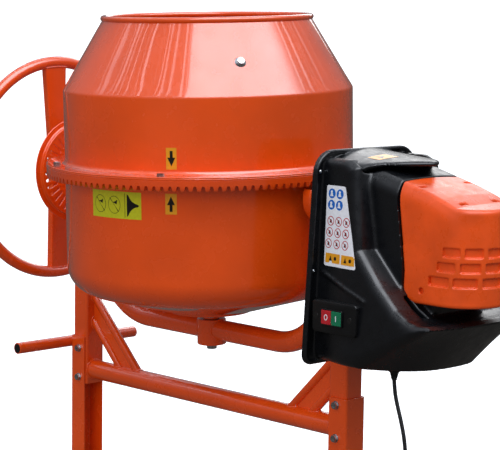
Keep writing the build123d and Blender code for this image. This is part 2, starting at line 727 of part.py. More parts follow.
def drum_spindle():
    """The hub plate under the bowl and the shaft that turns in the yoke's boss."""
    plate = rod_z(BOWL_BOTTOM - HUB_PLATE_T, BOWL_BOTTOM, 0, 0, HUB_PLATE_R)
    plate += rod_z(BOSS_BOTTOM - 2, BOWL_BOTTOM, 0, 0, SPINDLE_D / 2)
    plate += rod_z(BOSS_TOP + 0.5, BOWL_BOTTOM, 0, 0, SPINDLE_D / 2 + 5)
    for k in range(HUB_BOLTS):
        a = math.radians(45 + 360 / HUB_BOLTS * k)
        x, y = HUB_BOLT_R * math.cos(a), HUB_BOLT_R * math.sin(a)
        plate -= rod_z(BOWL_BOTTOM - HUB_PLATE_T, BOWL_BOTTOM, x, y, BOLT_D / 2)
    return plate


def hub_bolts():
    """Four bolts through the hub plate and bowl, and the bolt and washer under the boss."""
    bolts = []
    low = BOWL_BOTTOM - HUB_PLATE_T
    high = BOWL_BOTTOM + DRUM_WALL
    for k in range(HUB_BOLTS):
        a = math.radians(45 + 360 / HUB_BOLTS * k)
        x, y = HUB_BOLT_R * math.cos(a), HUB_BOLT_R * math.sin(a)
        bolt = rod_z(low, high, x, y, BOLT_D / 2)
        bolt += hex_z(low - BOLT_HEAD, low, x, y, BOLT_HEX)
        bolt += hex_z(high, high + BOLT_HEAD, x, y, BOLT_HEX)
        bolts.append(bolt)
    base = BOSS_BOTTOM - 2
    end_bolt = rod_z(base - 2.5, base, 0, 0, 15)
    end_bolt += hex_z(base - 10, base - 2.5, 0, 0, 19)
    bolts.append(end_bolt)
    return bolts


# ---- drive ----
def involute(angle):
    return math.tan(angle) - angle


def pinion():
    """An eleven-tooth pinion with involute flanks and radial roots."""
    pitch = MODULE * PINION_TEETH / 2
    base = pitch * math.cos(math.radians(PRESSURE))
    outer = pitch + ADDENDUM
    root = pitch - DEDENDUM
    half_pitch = TOOTH_THICK / 2 / pitch
    points = []
    for k in range(PINION_TEETH):
        middle = math.pi / 2 + math.pi / PINION_TEETH * (2 * k + 1)
        flank = []
        for r in (root, base, (base + pitch) / 2, pitch, (pitch + outer) / 2, outer):
            at = math.acos(min(1.0, base / r)) if r > base else 0.0
            flank.append((r, half_pitch + involute(math.radians(PRESSURE)) - involute(at)))
        points += [(r * math.cos(middle - h), r * math.sin(middle - h)) for r, h in flank]
        points += [(r * math.cos(middle + h), r * math.sin(middle + h)) for r, h in reversed(flank)]
    gear = prism_x(points, *PINION_FACE)
    return gear - rod_x(PINION_FACE[0], PINION_FACE[1], 0, 0, SHAFT_D / 2)


def drive_shaft():
    return rod_x(PINION_FACE[0] - 1, BELT_X + BELT_WIDTH / 2 + 8, 0, 0, SHAFT_D / 2)


def pulley(r, z, bore, hub):
    """A flanged belt pulley with a web between hub and rim."""
    x0, x1 = BELT_X - BELT_WIDTH / 2 - 2, BELT_X + BELT_WIDTH / 2 + 2
    wheel = rod_x(x0, x1, 0, z, r + 3) - (
        rod_x(x0 + 2, x1 - 2, 0, z, r + 4) - rod_x(x0 + 2, x1 - 2, 0, z, r)
    )
    if r > hub + 10:
        wheel -= rod_x(x0, x0 + 5, 0, z, r - 6) - rod_x(x0, x0 + 5, 0, z, hub)
        wheel -= rod_x(x1 - 5, x1, 0, z, r - 6) - rod_x(x1 - 5, x1, 0, z, hub)
    return wheel - rod_x(x0, x1, 0, z, bore)


def belt_loop(grow):
    """The area inside a loop round both pulleys."""
    big, small = PULLEY_R + grow, MOTOR_PULLEY_R + grow
    lean = math.asin((big - small) / MOTOR_Z)
    c, s = math.cos(lean), math.sin(lean)
    corners = [(big * c, big * s), (small * c, MOTOR_Z + small * s)]
    corners += [(-y, z) for y, z in reversed(corners)]
    loop = make_face(Polyline(*corners, close=True))
    return loop + Circle(big) + Pos(0, MOTOR_Z) * Circle(small)


def drive_belt():
    section = belt_loop(FIT_GAP + BELT_T) - belt_loop(FIT_GAP)
    width = BELT_WIDTH - 1
    return extrude(Plane.YZ.offset(BELT_X - width / 2) * section, width)


def motor_body():
    """Motor casing with end shields and a bore for the rotor shaft."""
    x0, x1 = MOTOR_X
    body = rod_x(x0 + 12, x1 - 12, 0, MOTOR_Z, MOTOR_R)
    body += rod_x(x0, x1, 0, MOTOR_Z, MOTOR_R - 8)
    return body - rod_x(x0, x1, 0, MOTOR_Z, MOTOR_SHAFT_D / 2 + RUN_GAP)


def motor_shaft():
    return rod_x(BELT_X - BELT_WIDTH / 2 - 4, MOTOR_X[1] + 26, 0, MOTOR_Z, MOTOR_SHAFT_D / 2)


def motor_fan():
    x0, x1 = MOTOR_X[1] + 5, MOTOR_X[1] + 23
    fan = rod_x(x0, x0 + 3, 0, MOTOR_Z, FAN_R) + rod_x(x0, x1, 0, MOTOR_Z, 12)
    blade = block((x0, x1), (10, FAN_R - 2), (MOTOR_Z - 1.2, MOTOR_Z + 1.2))
    axis = Axis((0, 0, MOTOR_Z), (1, 0, 0))
    fan += [blade.rotate(axis, 45 * k) for k in range(8)]
    return fan - rod_x(x0, x1, 0, MOTOR_Z, MOTOR_SHAFT_D / 2)


def motor_bracket():
    """A plate on four posts that holds the motor off the back plate, clear of the belt."""
    face = MOTOR_X[0]
    reach = PULLEY_R + BELT_T + 12
    plate = block((face - 4, face), (-reach, reach), (MOTOR_Z - MOTOR_R - 16, MOTOR_Z + MOTOR_R))
    plate -= rod_x(face - 5, face + 1, 0, MOTOR_Z, 14)
    for y in (8 - reach, reach - 8):
        for z in (MOTOR_Z - MOTOR_R - 8, MOTOR_Z + MOTOR_R - 8):
            plate += rod_x(HOUSE_X + BACK_T, face - 4, y, z, 7)
    return plate


def capacitor():
    start = HOUSE_X + BACK_T
    return rod_x(start, start + 78, 70, -225, 20)


# ---- motor housing ----
def panel(half_top, half_bottom, top, bottom, corners, x0, x1):
    """A prism along X of a trapezium with rounded corners."""
    outline = [(-half_bottom, bottom), (half_bottom, bottom), (half_top, top), (-half_top, top)]
    low, high = corners[1], corners[0]
    path = FilletPolyline(*outline, radius=[low, low, high, high], close=True)
    return extrude(Plane.YZ.offset(x0) * make_face(path), x1 - x0)


def housing_back():
    """The flanged plate behind the drive, bolted to the upright through spacers."""
    top, bottom = BACK_HALF
    plate = panel(top, bottom, BACK_TOP, BACK_BOTTOM, BACK_CORNER, HOUSE_X, HOUSE_X + BACK_T)
    plate -= rod_x(HOUSE_X - 1, HOUSE_X + BACK_T + 1, 0, 0, TRUNNION_D / 2 + 3)
    return plate


def housing_spacers():
    """Round spacers between the right upright and the back plate."""
    face = UPRIGHT_X + UPRIGHT_SIDE / 2
    return [rod_x(face, HOUSE_X, 0, z, 12) for z in (-75, -250)]


def core(inset):
    """The black shell's outer form, or its hollow when inset."""
    x0 = HOUSE_X + BACK_T
    half_top, half_bottom = (h - inset for h in BODY_HALF)
    corners = [c - min(inset, c / 2) for c in BODY_CORNER]
    top, bottom = BODY_TOP - inset, BODY_BOTTOM + inset
    form = panel(half_top, half_bottom, top, bottom, corners, x0, NOSE_X)
    side = [
        (x0, top),
        (520 - inset, top - 4),
        (548 - inset, -64),
        (634, -156 - inset),
        (690, -188 - inset),
        (NOSE_X - inset, -196 - inset),
        (668 - inset, bottom),
        (x0, bottom),
    ]
    form &= prism_y(side, 200)
    wide = BODY_HALF[1]
    plan = FilletPolyline(
        (x0, -wide), (NOSE_X - inset, -wide), (NOSE_X - inset, wide), (x0, wide),
        radius=[0, NOSE_CORNER - inset, NOSE_CORNER - inset, 0], close=True,
    )
    form &= Pos(0, 0, BODY_BOTTOM) * extrude(make_face(plan), 600)
    return form


def tunnel(inset):
    """The raised part of the shell that runs out to the motor cap."""
    x0 = HOUSE_X + BACK_T
    half = TUNNEL_HALF - inset
    top = 84.0 - inset
    rounded = [(-half, TUNNEL_BOTTOM), (half, TUNNEL_BOTTOM), (half, top), (-half, top)]
    path = FilletPolyline(*rounded, radius=[0, 0, 34 - inset, 34 - inset], close=True)
    form = extrude(Plane.YZ.offset(x0) * make_face(path), SEAM_X - x0)
    roof = [(x0, top + 10), (VISOR_X - 40, top), (SEAM_X, 62 - inset), (SEAM_X, -240), (x0, -240)]
    return form & prism_y(roof, 200)


def housing_front():
    """The black shell, with openings for the motor cap, the switch and the cable gland."""
    x0 = HOUSE_X + BACK_T
    shell = core(0) + tunnel(0) + housing_lip()
    hollow = core(SHELL_T) + tunnel(SHELL_T)
    hollow += block((VISOR_X, NOSE_X), (SHELL_T - TUNNEL_HALF, TUNNEL_HALF - SHELL_T), (CAP_BOTTOM + SHELL_T, 40))
    shell -= hollow
    shell -= cap_form(0)
    shell -= switch_cutout()
    shell -= rod_z(BODY_BOTTOM - 1, BODY_BOTTOM + SHELL_T + 1, *GLAND_AT, CORD_D / 2 + 3)
    return shell


def housing_lip():
    """The rim that stands round the shell against the back plate."""
    top, bottom = BACK_HALF
    x0 = HOUSE_X + BACK_T
    outer = panel(top, bottom, BACK_TOP, BACK_BOTTOM, BACK_CORNER, x0, x0 + LIP)
    w = LIP_WIDTH
    corners = [c - w for c in BACK_CORNER]
    inner = panel(top - w, bottom - w, BACK_TOP - w, BACK_BOTTOM + w, corners, x0 + SHELL_T, x0 + LIP)
    return outer - inner


def cap_form(inset):
    half = TUNNEL_HALF - inset
    nose = CAP_NOSE_X - inset
    side = [(SEAM_X, 62 - inset), (nose, 14 - inset), (nose - 16, CAP_BOTTOM + inset), (SEAM_X, CAP_BOTTOM + inset)]
    form = prism_y(side, 200)
    corner = CAP_CORNER - inset
    plan = FilletPolyline(
        (SEAM_X, -half), (nose, -half), (nose, half), (SEAM_X, half), radius=[0, corner, corner, 0], close=True
    )
    return form & Pos(0, 0, -300) * extrude(make_face(plan), 500)


def vent_cutters():
    """Three rows of slots round the cap's nose, between its ribs."""
    cutters = []
    middle = CAP_NOSE_X - CAP_CORNER
    for row in range(3):
        z = -58 - 26 * row
        for angle in range(-75, 76, 25):
            slot = block((40, 140), (-11, 11), (z - 6, z + 6))
            cutters.append(Pos(middle, 0, 0) * Rot(0, 0, angle) * slot)
    return cutters


def motor_cap():
    """The vented cover over the motor's fan end."""
    return cap_form(0) - cap_form(SHELL_T) - block(
        (SEAM_X - 1, SEAM_X + SHELL_T), (SHELL_T - TUNNEL_HALF, TUNNEL_HALF - SHELL_T), (CAP_BOTTOM + SHELL_T, 40)
    ) - vent_cutters()


def housing_screws():
    """Screws round the flange, which hold the shell to the back plate."""
    screws = []
    face = HOUSE_X + BACK_T + SHELL_T
    for y, z in ((-130, 66), (130, 66), (-144, -120), (144, -120)):
        screws.append(rod_x(face, face + 2.5, y, z, 3.2))
    return screws


# ---- switch ----
def switch_cutout():
    return block((BEZEL_X[0], BEZEL_X[1]), (-170, -130), (BEZEL_Z[0], BEZEL_Z[1]))


def switch_box():
    """The face plate with its raised bezel and the switch body behind it."""
    x0, x1 = SWITCH_X
    z0, z1 = SWITCH_Z
    plate = block((x0, x1), (SWITCH_Y, SWITCH_Y + 16), (z0, z1)) - core(0)
    plate += block(BEZEL_X, (SWITCH_Y - 4, -120), BEZEL_Z)
    plate -= block((BEZEL_X[0] + 2, BEZEL_X[1] - 2), (SWITCH_Y - 5, -140), (BEZEL_Z[0] + 2, BEZEL_Z[1] - 2))
    return plate


def button(x0, x1):
    gap = FIT_GAP
    return block((x0 + gap, x1 - gap), (SWITCH_Y - 5, -142.0 - BUTTON_TRAVEL), (BEZEL_Z[0] + 2 + gap, BEZEL_Z[1] - 2 - gap))


def stop_button():
    return button(BEZEL_X[0] + 2, (BEZEL_X[0] + BEZEL_X[1]) / 2)


def start_button():
    return button((BEZEL_X[0] + BEZEL_X[1]) / 2, BEZEL_X[1] - 2)


# ---- cord ----
def cable_gland():
    """A screwed gland with a tapered strain relief under the shell."""
    x, y = GLAND_AT
    top = BODY_BOTTOM
    outline = [
        (CORD_D / 2, top),
        (GLAND_D / 2, top),
        (GLAND_D / 2, top - 6),
        (8.0, top - 8),
        (5.5, top - GLAND_H),
        (CORD_D / 2, top - GLAND_H),
    ]
    return Pos(x, y, 0) * turned(*outline)


CORD_START = BODY_BOTTOM - GLAND_H
COIL_AT = (690.0, 0.0)
CORD_ROUTE = [
    (600, -90, CORD_START),
    (602, -90, CORD_START - 22),
    (609, -90, CORD_START - 46),
    (619, -90, CORD_START - 74),
    (628, -90, CORD_START - 106),
    (633, -90, CORD_START - 145),
    (635, -91, CORD_START - 195),
    (633, -92, CORD_START - 260),
    (627, -95, CORD_START - 340),
    (619, -98, CORD_START - 425),
    (613, -102, CORD_START - 505),
    (611, -105, CORD_START - 562),
    (611, -106, FLOOR_CORD_Z + 64),
    (616, -96, FLOOR_CORD_Z + 34),
    (625, -75, FLOOR_CORD_Z + 12),
    (636, -47, FLOOR_CORD_Z),
    (644, -17, FLOOR_CORD_Z),
]


def corner_radii(points):
    """For each corner of the route, the arc that its shorter run allows."""
    radii = []
    for a, b, c in zip(points, points[1:], points[2:]):
        before = Vector(*b) - Vector(*a)
        after = Vector(*c) - Vector(*b)
        turn = math.radians(before.get_angle(after))
        radii.append(0.45 * min(before.length, after.length) / math.tan(turn / 2))
    return radii


def power_cord():
    radii = corner_radii(CORD_ROUTE)
    path = FilletPolyline(*CORD_ROUTE, radius=radii)
    heading = Vector(*CORD_ROUTE[1]) - Vector(*CORD_ROUTE[0])
    cord = sweep(Plane(origin=CORD_ROUTE[0], z_dir=heading) * Circle(CORD_D / 2), path)
    print("cord radii in diameters", [round(r / CORD_D, 1) for r in radii])
    print("cord length", round(path.length, 1), "volume ratio", cord.volume / (path.length * math.pi * CORD_D**2 / 4))
    return cord


def cord_coil():
    """The put-away length of cord, as the outer form of its tied coil."""
    z0 = GROUND + 0.5
    outer, inner = COIL_R + COIL_SECTION / 2, COIL_R - COIL_SECTION / 2
    return rod_z(z0, z0 + COIL_SECTION, *COIL_AT, outer) - rod_z(z0, z0 + COIL_SECTION, *COIL_AT, inner)


def plug():
    """A moulded mains plug lying beside the coil, with the cord's end led straight into it."""
    x = COIL_AT[0] + COIL_R + 4
    y = COIL_AT[1]
    z = GROUND + 19
    body = rod_y(y - 92, y - 58, x, z, 18.5)
    body += rod_y(y - 58, y - 44, x, z, 10)
    body += rod_y(y - 44, y - 20, x, z, 6)
    for dx in (-9.5, 9.5):
        body += rod_y(y - 111, y - 92, x + dx, z, 2.4)
    return body


# ---- writing ----
def place(shape, tilted):
    """Leans the yoke's pieces to the rest angle and moves the origin to the ground."""
    if isinstance(shape, (list, tuple)):
        shape = Compound(children=[s.solid() if len(s.solids()) == 1 else s for s in shape])
    elif len(shape.solids()) == 1:
        shape = shape.solid()
    if tilted:
        shape = shape.rotate(Axis.X, REST_TILT)
    return shape.moved(Location((SHIFT_X, 0, AXIS_HEIGHT)))


FIXED = {
    "left_upright": lambda: upright(-1),
    "right_upright": lambda: upright(1),
    "cross_tube": cross_tube,
    "corner_braces": lambda: [brace(-1, BRACE_LINES[0]), brace(1, BRACE_LINES[1])],
    "bearing_housings": lambda: [bearing_housing(-1), bearing_housing(1)],
    "tilt_bushes": lambda: [tilt_bush(-1), tilt_bush(1)],
    "locking_disc": locking_disc,
    "left_leg": left_leg,
    "right_leg": right_leg,
    "leg_bolts": leg_bolts,
    "foot_bar": foot_bar,
    "foot_pads": foot_pads,
    "foot_struts": foot_struts,
    "handle_bar": handle_bar,
    "wheel_struts": wheel_struts,
    "axle_tube": axle_tube,
    "axle": axle,
    "axle_pins": axle_pins,
    "front_tyre": lambda: tyre(-1),
    "front_wheel_centre": lambda: wheel_rim(-1),
    "back_tyre": lambda: tyre(1),
    "back_wheel_centre": lambda: wheel_rim(1),
    "housing_back": housing_back,
    "housing_spacers": housing_spacers,
    "housing_front": housing_front,
    "motor_cap": motor_cap,
    "housing_screws": housing_screws,
    "motor_body": motor_body,
    "motor_bracket": motor_bracket,
    "motor_shaft": motor_shaft,
    "motor_pulley": lambda: pulley(MOTOR_PULLEY_R, MOTOR_Z, MOTOR_SHAFT_D / 2, 20),
    "motor_fan": motor_fan,
    "drive_belt": drive_belt,
    "capacitor": capacitor,
    "switch_box": switch_box,
    "stop_button": stop_button,
    "start_button": start_button,
    "cable_gland": cable_gland,
    "power_cord": power_cord,
    "cord_coil": cord_coil,
    "plug": plug,
}

TILTED = {
    "yoke_tube": yoke_tube,
    "yoke_boss": yoke_boss,
    "left_trunnion": left_trunnion,
    "right_trunnion": right_trunnion,
    "ball_bearings": lambda: drum_bearings() + shaft_bearings(),
    "pinion_guard": pinion_guard,
    "handwheel_ring": handwheel_ring,
    "handwheel_spoke": handwheel_spoke,
    "lock_spring": lock_spring,
    "drum_lower": drum_lower,
    "drum_upper": drum_upper,
    "ring_gear": ring_gear,
    "flange_bolts": flange_bolts,
    "mixing_paddles": mixing_paddles,
    "drum_spindle": drum_spindle,
    "drum_bolts": lambda: hub_bolts() + paddle_bolts(),
    "pinion": pinion,
    "drive_shaft": drive_shaft,
    "driven_pulley": lambda: pulley(PULLEY_R, 0, SHAFT_D / 2, 18),
}


def main():
    os.makedirs("parts", exist_ok=True)
    for group, tilted in ((FIXED, False), (TILTED, True)):
        for name, build in group.items():
            export_step(place(build(), tilted), f"parts/{name}.step")


if __name__ == "__main__":
    main()
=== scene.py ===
"""Finishes a tilting-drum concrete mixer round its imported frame: pressed and painted steel, moulded housing,
cord and studio. Pieces are shaped in machine millimetres, with the origin on the tilt axis, X towards the
motor, Y to the rear and Z up; STAND and LEANING carry them into the frame.
"""
import json
import math

import bmesh
import bpy
import numpy as np
from mathutils import Matrix, Vector
from mathutils.bvhtree import BVHTree


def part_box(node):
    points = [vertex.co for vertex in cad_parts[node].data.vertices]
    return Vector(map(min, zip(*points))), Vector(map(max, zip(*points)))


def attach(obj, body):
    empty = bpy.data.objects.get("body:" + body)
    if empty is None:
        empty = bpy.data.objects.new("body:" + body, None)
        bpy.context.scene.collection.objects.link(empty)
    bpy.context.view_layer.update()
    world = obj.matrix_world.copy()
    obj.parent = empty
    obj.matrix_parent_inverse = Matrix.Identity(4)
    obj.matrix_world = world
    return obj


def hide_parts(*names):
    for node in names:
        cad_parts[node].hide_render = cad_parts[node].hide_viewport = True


bl_info = {
    "name": "Concrete mixer",
    "version": (1, 0, 0),
    "blender": (4, 5, 0),
    "location": "View3D > Sidebar > Mixer",
    "description": "Builds the visible pieces of a tilting-drum concrete mixer",
    "category": "Object",
}

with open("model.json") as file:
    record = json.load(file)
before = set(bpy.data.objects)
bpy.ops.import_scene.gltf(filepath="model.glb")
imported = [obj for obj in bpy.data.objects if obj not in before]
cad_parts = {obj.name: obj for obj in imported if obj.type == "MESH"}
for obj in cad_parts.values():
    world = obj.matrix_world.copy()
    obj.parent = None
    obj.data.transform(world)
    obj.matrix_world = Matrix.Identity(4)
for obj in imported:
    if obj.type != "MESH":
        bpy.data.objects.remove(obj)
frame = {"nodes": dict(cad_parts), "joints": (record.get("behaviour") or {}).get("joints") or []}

MM = 0.001
AXIS = sum(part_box("tilt_bushes"), Vector()) / 2
SPIN = next(j for j in frame["joints"] if j["name"] == "drum_spin")["axis"]
LEAN = math.atan2(-SPIN[1], SPIN[2])
STAND = Matrix.Translation(AXIS) @ Matrix.Scale(MM, 4)
LEANING = Matrix.Translation(AXIS) @ Matrix.Rotation(LEAN, 4, "X") @ Matrix.Scale(MM, 4)
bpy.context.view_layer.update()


def span(node, place=STAND):
    """A node's lowest and highest corners in machine millimetres."""
    back = np.array(place.inverted())
    points = np.array([v.co[:] for v in frame["nodes"][node].data.vertices])
    points = points @ back[:3, :3].T + back[:3, 3]
    return points.min(0), points.max(0)


# ---- sizes in millimetres ----
GROUND = -AXIS.z / MM
UPRIGHT_X = (span("right_upright")[0][0] + span("right_upright")[1][0]) / 2
UPRIGHT_HALF = UPRIGHT_X - span("right_upright")[0][0]
CROSS_Z = (span("cross_tube")[0][2] + span("cross_tube")[1][2]) / 2
CROSS_R = span("cross_tube")[1][2] - CROSS_Z
LEG_HALF = span("left_leg")[1][1]
LEG_WALL = 3.5
LEG_BOLT_Z = (-400.0, -466.0)
BRACE_LINES = (-685.0, 712.0)
BRACE_RIB_R = 9.0
BRACE_RIB_OFFSET = 21.0
FLANGE_R = span("drum_upper", LEANING)[1][0]
FLANGE_TOP = 54.0
SHEET = 3.0
DRUM_R = 300.0
SHOULDER_Z = 203.0
RIM_Z = 348.0
RIM_R = 214.0
BEAD_R = 6.0
BOWL_CORNER_Z = -160.0
BOWL_CORNER_R = 58.0
BOWL_SLOPE = math.radians(74.2)
BOWL_BOTTOM = span("drum_lower", LEANING)[0][2]
GEAR_IN_R = 320.0
TOOTH_ROOT = 36.25
TOOTH_TIP = span("ring_gear", LEANING)[0][2]
TEETH = 132
CONE_SLOPE = math.atan2(RIM_Z - SHOULDER_Z, DRUM_R - RIM_R)
PADDLE_ANGLES = (-29.0, 151.0)
PADDLE_BOLT_Z = 268.0
PADDLE_WIDTH = 70.0
YOKE_R = 22.0
YOKE_X = 345.0
YOKE_Z = (span("yoke_tube", LEANING)[0][2]) + YOKE_R
YOKE_BEND = 168.0
BOSS_R = 30.5
DISC_R = span("locking_disc")[1][1]
DISC_X = -428.0
RING_R = 240.0
RING_TUBE = 13.0
RING_X = -512.0
WHEEL_R = 100.0
AXLE_X = (span("axle")[0][0] + span("axle")[1][0]) / 2
AXLE_Z = GROUND + WHEEL_R
WHEEL_Y = 300.0
BACK_X = span("housing_back")[0][0]
BACK_OUTLINE = [(-166.5, -298.0), (166.5, -298.0), (140.5, 106.0), (-140.5, 106.0)]
BACK_CORNERS = [20.0, 20.0, 48.0, 48.0]
SEAM_X = 607.0
CAP_NOSE_X = span("motor_cap")[1][0]
CAP_BOTTOM = span("motor_cap")[0][2] - 9.0
CAP_CORNER = 82.0
BEARING_WELD_R = 32.4
CAMERA_SENSOR, CAMERA_LENS = 36.0, 131.47
CAMERA_ANGLES = (46.8998 - 1.2955, 6.716, 0.7956)  # bearing, downward pitch and roll in degrees
TUNNEL_HALF = 92.0
SWITCH_Y = span("switch_box")[0][1] + 4.0
CORD_D = 7.5
COIL_AT = (690.0, 0.0)
COIL_R = 42.0


class MixerSizes(bpy.types.PropertyGroup):
    """Sizes that change how the sheet metal and mouldings read."""

    flange_bend: bpy.props.FloatProperty(
        name="Flange bend", description="Bend between drum wall and flange", default=9 * MM, unit="LENGTH")
    shoulder_bend: bpy.props.FloatProperty(
        name="Shoulder bend", description="Bend between drum wall and cone", default=13 * MM, unit="LENGTH")
    cone_ripple: bpy.props.FloatProperty(
        name="Cone ripple", description="Unevenness of the spun cone", default=0.32 * MM, unit="LENGTH")
    weld_bead: bpy.props.FloatProperty(
        name="Weld bead", description="Radius of the weld beads", default=2.6 * MM, unit="LENGTH")
    moulding_step: bpy.props.FloatProperty(
        name="Moulding mesh", description="Spacing of the mouldings' mesh", default=3.0 * MM, unit="LENGTH")


def hex_colour(code):
    """An sRGB hex colour as linear RGBA."""
    parts = [int(code[i:i + 2], 16) / 255 for i in (1, 3, 5)]
    return [p / 12.92 if p <= 0.04045 else ((p + 0.055) / 1.055) ** 2.4 for p in parts] + [1.0]


class MixerColours(bpy.types.PropertyGroup):
    """Colours of the painted and moulded surfaces."""

    enamel: bpy.props.FloatVectorProperty(
        name="Frame and drum", description="Powder coat", size=4, subtype="COLOR", default=hex_colour("#F2540F"))
    gear: bpy.props.FloatVectorProperty(
        name="Gear ring", description="Powder coat on the cast ring", size=4, subtype="COLOR",
        default=hex_colour("#E84C0D"))
    cap: bpy.props.FloatVectorProperty(
        name="Motor cap", description="Moulded cap", size=4, subtype="COLOR", default=hex_colour("#F5581A"))
    housing: bpy.props.FloatVectorProperty(
        name="Housing", description="Moulded housing", size=4, subtype="COLOR", default=hex_colour("#101216"))


# ---- finishes ----
def add_node(tree, kind, inputs=(), **settings):
    """Adds a node. Inputs are (socket, value or output that feeds it); settings are the node's own."""
    node = tree.nodes.new(kind)
    for key, value in settings.items():
        setattr(node, key, value)
    for socket, value in inputs:
        if isinstance(value, bpy.types.NodeSocket):
            tree.links.new(value, node.inputs[socket])
        else:
            node.inputs[socket].default_value = value
    return node


def blank(name):
    """A material with an empty tree but for its output."""
    material = bpy.data.materials.new(name)
    material.use_nodes = True
    material.node_tree.nodes.clear()
    return material, material.node_tree


def surface(tree, inputs):
    """The shader and the output that it feeds."""
    shader = add_node(tree, "ShaderNodeBsdfPrincipled", inputs)
    add_node(tree, "ShaderNodeOutputMaterial", [("Surface", shader.outputs[0])])
    return shader


def per_metre(size):
    """A noise scale whose features are this many millimetres across."""
    return 1 / (size * MM)


def place_noise(tree, size, detail=2.0, stretch=(1, 1, 1)):
    """Noise in the object's own space, with features of a size in millimetres."""
    where = add_node(tree, "ShaderNodeTexCoord")
    mapped = add_node(tree, "ShaderNodeMapping", [("Vector", where.outputs["Object"]), ("Scale", stretch)])
    return add_node(tree, "ShaderNodeTexNoise",
                    [("Vector", mapped.outputs[0]), ("Scale", per_metre(size)), ("Detail", detail)]).outputs[0]


def tinted(tree, colour, factor, low, high):
    """A colour made darker and lighter by a factor from 0 to 1."""
    shades = [[c * k for c in colour[:3]] + [1.0] for k in (low, high)]
    return add_node(tree, "ShaderNodeMix", [(0, factor), (6, shades[0]), (7, shades[1])],
                    data_type="RGBA").outputs[2]


def levels(tree, value, low, high):
    """Spreads the middle of a noise over a range."""
    return add_node(tree, "ShaderNodeMapRange",
                    [("Value", value), ("From Min", 0.35), ("From Max", 0.65), ("To Min", low), ("To Max", high)]
                    ).outputs[0]


def powder_coat(name, colour, roughness=0.24, peel=0.16):
    """Polyester powder coat, sprayed and baked on steel: a thick glossy skin with fine orange peel, and a tone
    that wanders a little where the coat is thinner."""
    material, tree = blank(name)
    # The real peel is about 1.5 mm across; it is drawn at 3 mm, which is as fine as a view of the machine shows.
    peel_bump = add_node(tree, "ShaderNodeBump", [
        ("Height", place_noise(tree, 3.0, 1.0)), ("Strength", peel), ("Distance", 0.12 * MM)])
    surface(tree, [
        ("Base Color", tinted(tree, colour, levels(tree, place_noise(tree, 160, 3.0), 0, 1), 0.93, 1.07)),
        ("Roughness", levels(tree, place_noise(tree, 45, 4.0), roughness - 0.04, roughness + 0.06)),
        ("Normal", peel_bump.outputs[0]),
        ("IOR", 1.5),
        ("Coat Weight", 1.0),
        ("Coat Roughness", 0.035),
    ])
    return material


def moulded(name, colour, roughness=0.32, grain=1.2, depth=0.2, ior=1.49, sheen=0.0):
    """Injection-moulded plastic or rubber: through-coloured, with the fine spark-eroded grain of its mould."""
    material, tree = blank(name)
    grain_bump = add_node(tree, "ShaderNodeBump", [
        ("Height", place_noise(tree, grain, 3.0)), ("Strength", depth), ("Distance", 0.1 * MM)])
    surface(tree, [
        ("Base Color", tinted(tree, colour, levels(tree, place_noise(tree, 70, 4.0), 0, 1), 0.88, 1.12)),
        ("Roughness", levels(tree, place_noise(tree, 18, 4.0), roughness - 0.05, roughness + 0.07)),
        ("Normal", grain_bump.outputs[0]),
        ("IOR", ior),
        ("Sheen Weight", sheen),
    ])
    return material


def metal(name, colour, roughness, grain=2.0, stretch=(1, 1, 1), depth=0.15):
    """Bare or plated metal: its roughness and tone follow the marks that its making left."""
    material, tree = blank(name)
    marks = place_noise(tree, grain, 4.0, stretch)
    bump = add_node(tree, "ShaderNodeBump", [("Height", marks), ("Strength", depth), ("Distance", 0.1 * MM)])
    surface(tree, [
        ("Base Color", tinted(tree, colour, levels(tree, marks, 0, 1), 0.82, 1.08)),
        ("Metallic", 1.0),
        ("Roughness", levels(tree, marks, roughness - 0.07, roughness + 0.09)),
        ("Normal", bump.outputs[0]),
    ])
    return material


def printed(name, colour):
    """Screen-printed vinyl: an even ink under a thin gloss laminate that wrinkles slightly."""
    material, tree = blank(name)
    bump = add_node(tree, "ShaderNodeBump", [
        ("Height", place_noise(tree, 9.0, 2.0)), ("Strength", 0.12), ("Distance", 0.15 * MM)])
    surface(tree, [
        ("Base Color", tinted(tree, hex_colour(colour), levels(tree, place_noise(tree, 6, 2.0), 0, 1), 0.96, 1.04)),
        ("Roughness", 0.34), ("Normal", bump.outputs[0]), ("IOR", 1.5), ("Coat Weight", 0.25),
    ])
    return material


def clear_cover():
    """Polycarbonate: a clear, glossy flap that catches the light along its edges."""
    material, tree = blank("clear_polycarbonate")
    surface(tree, [
        ("Base Color", hex_colour("#F4FAFF")), ("Roughness", levels(tree, place_noise(tree, 12, 2.0), 0.03, 0.1)),
        ("IOR", 1.58), ("Transmission Weight", 1.0), ("Alpha", 0.35),
    ])
    return material


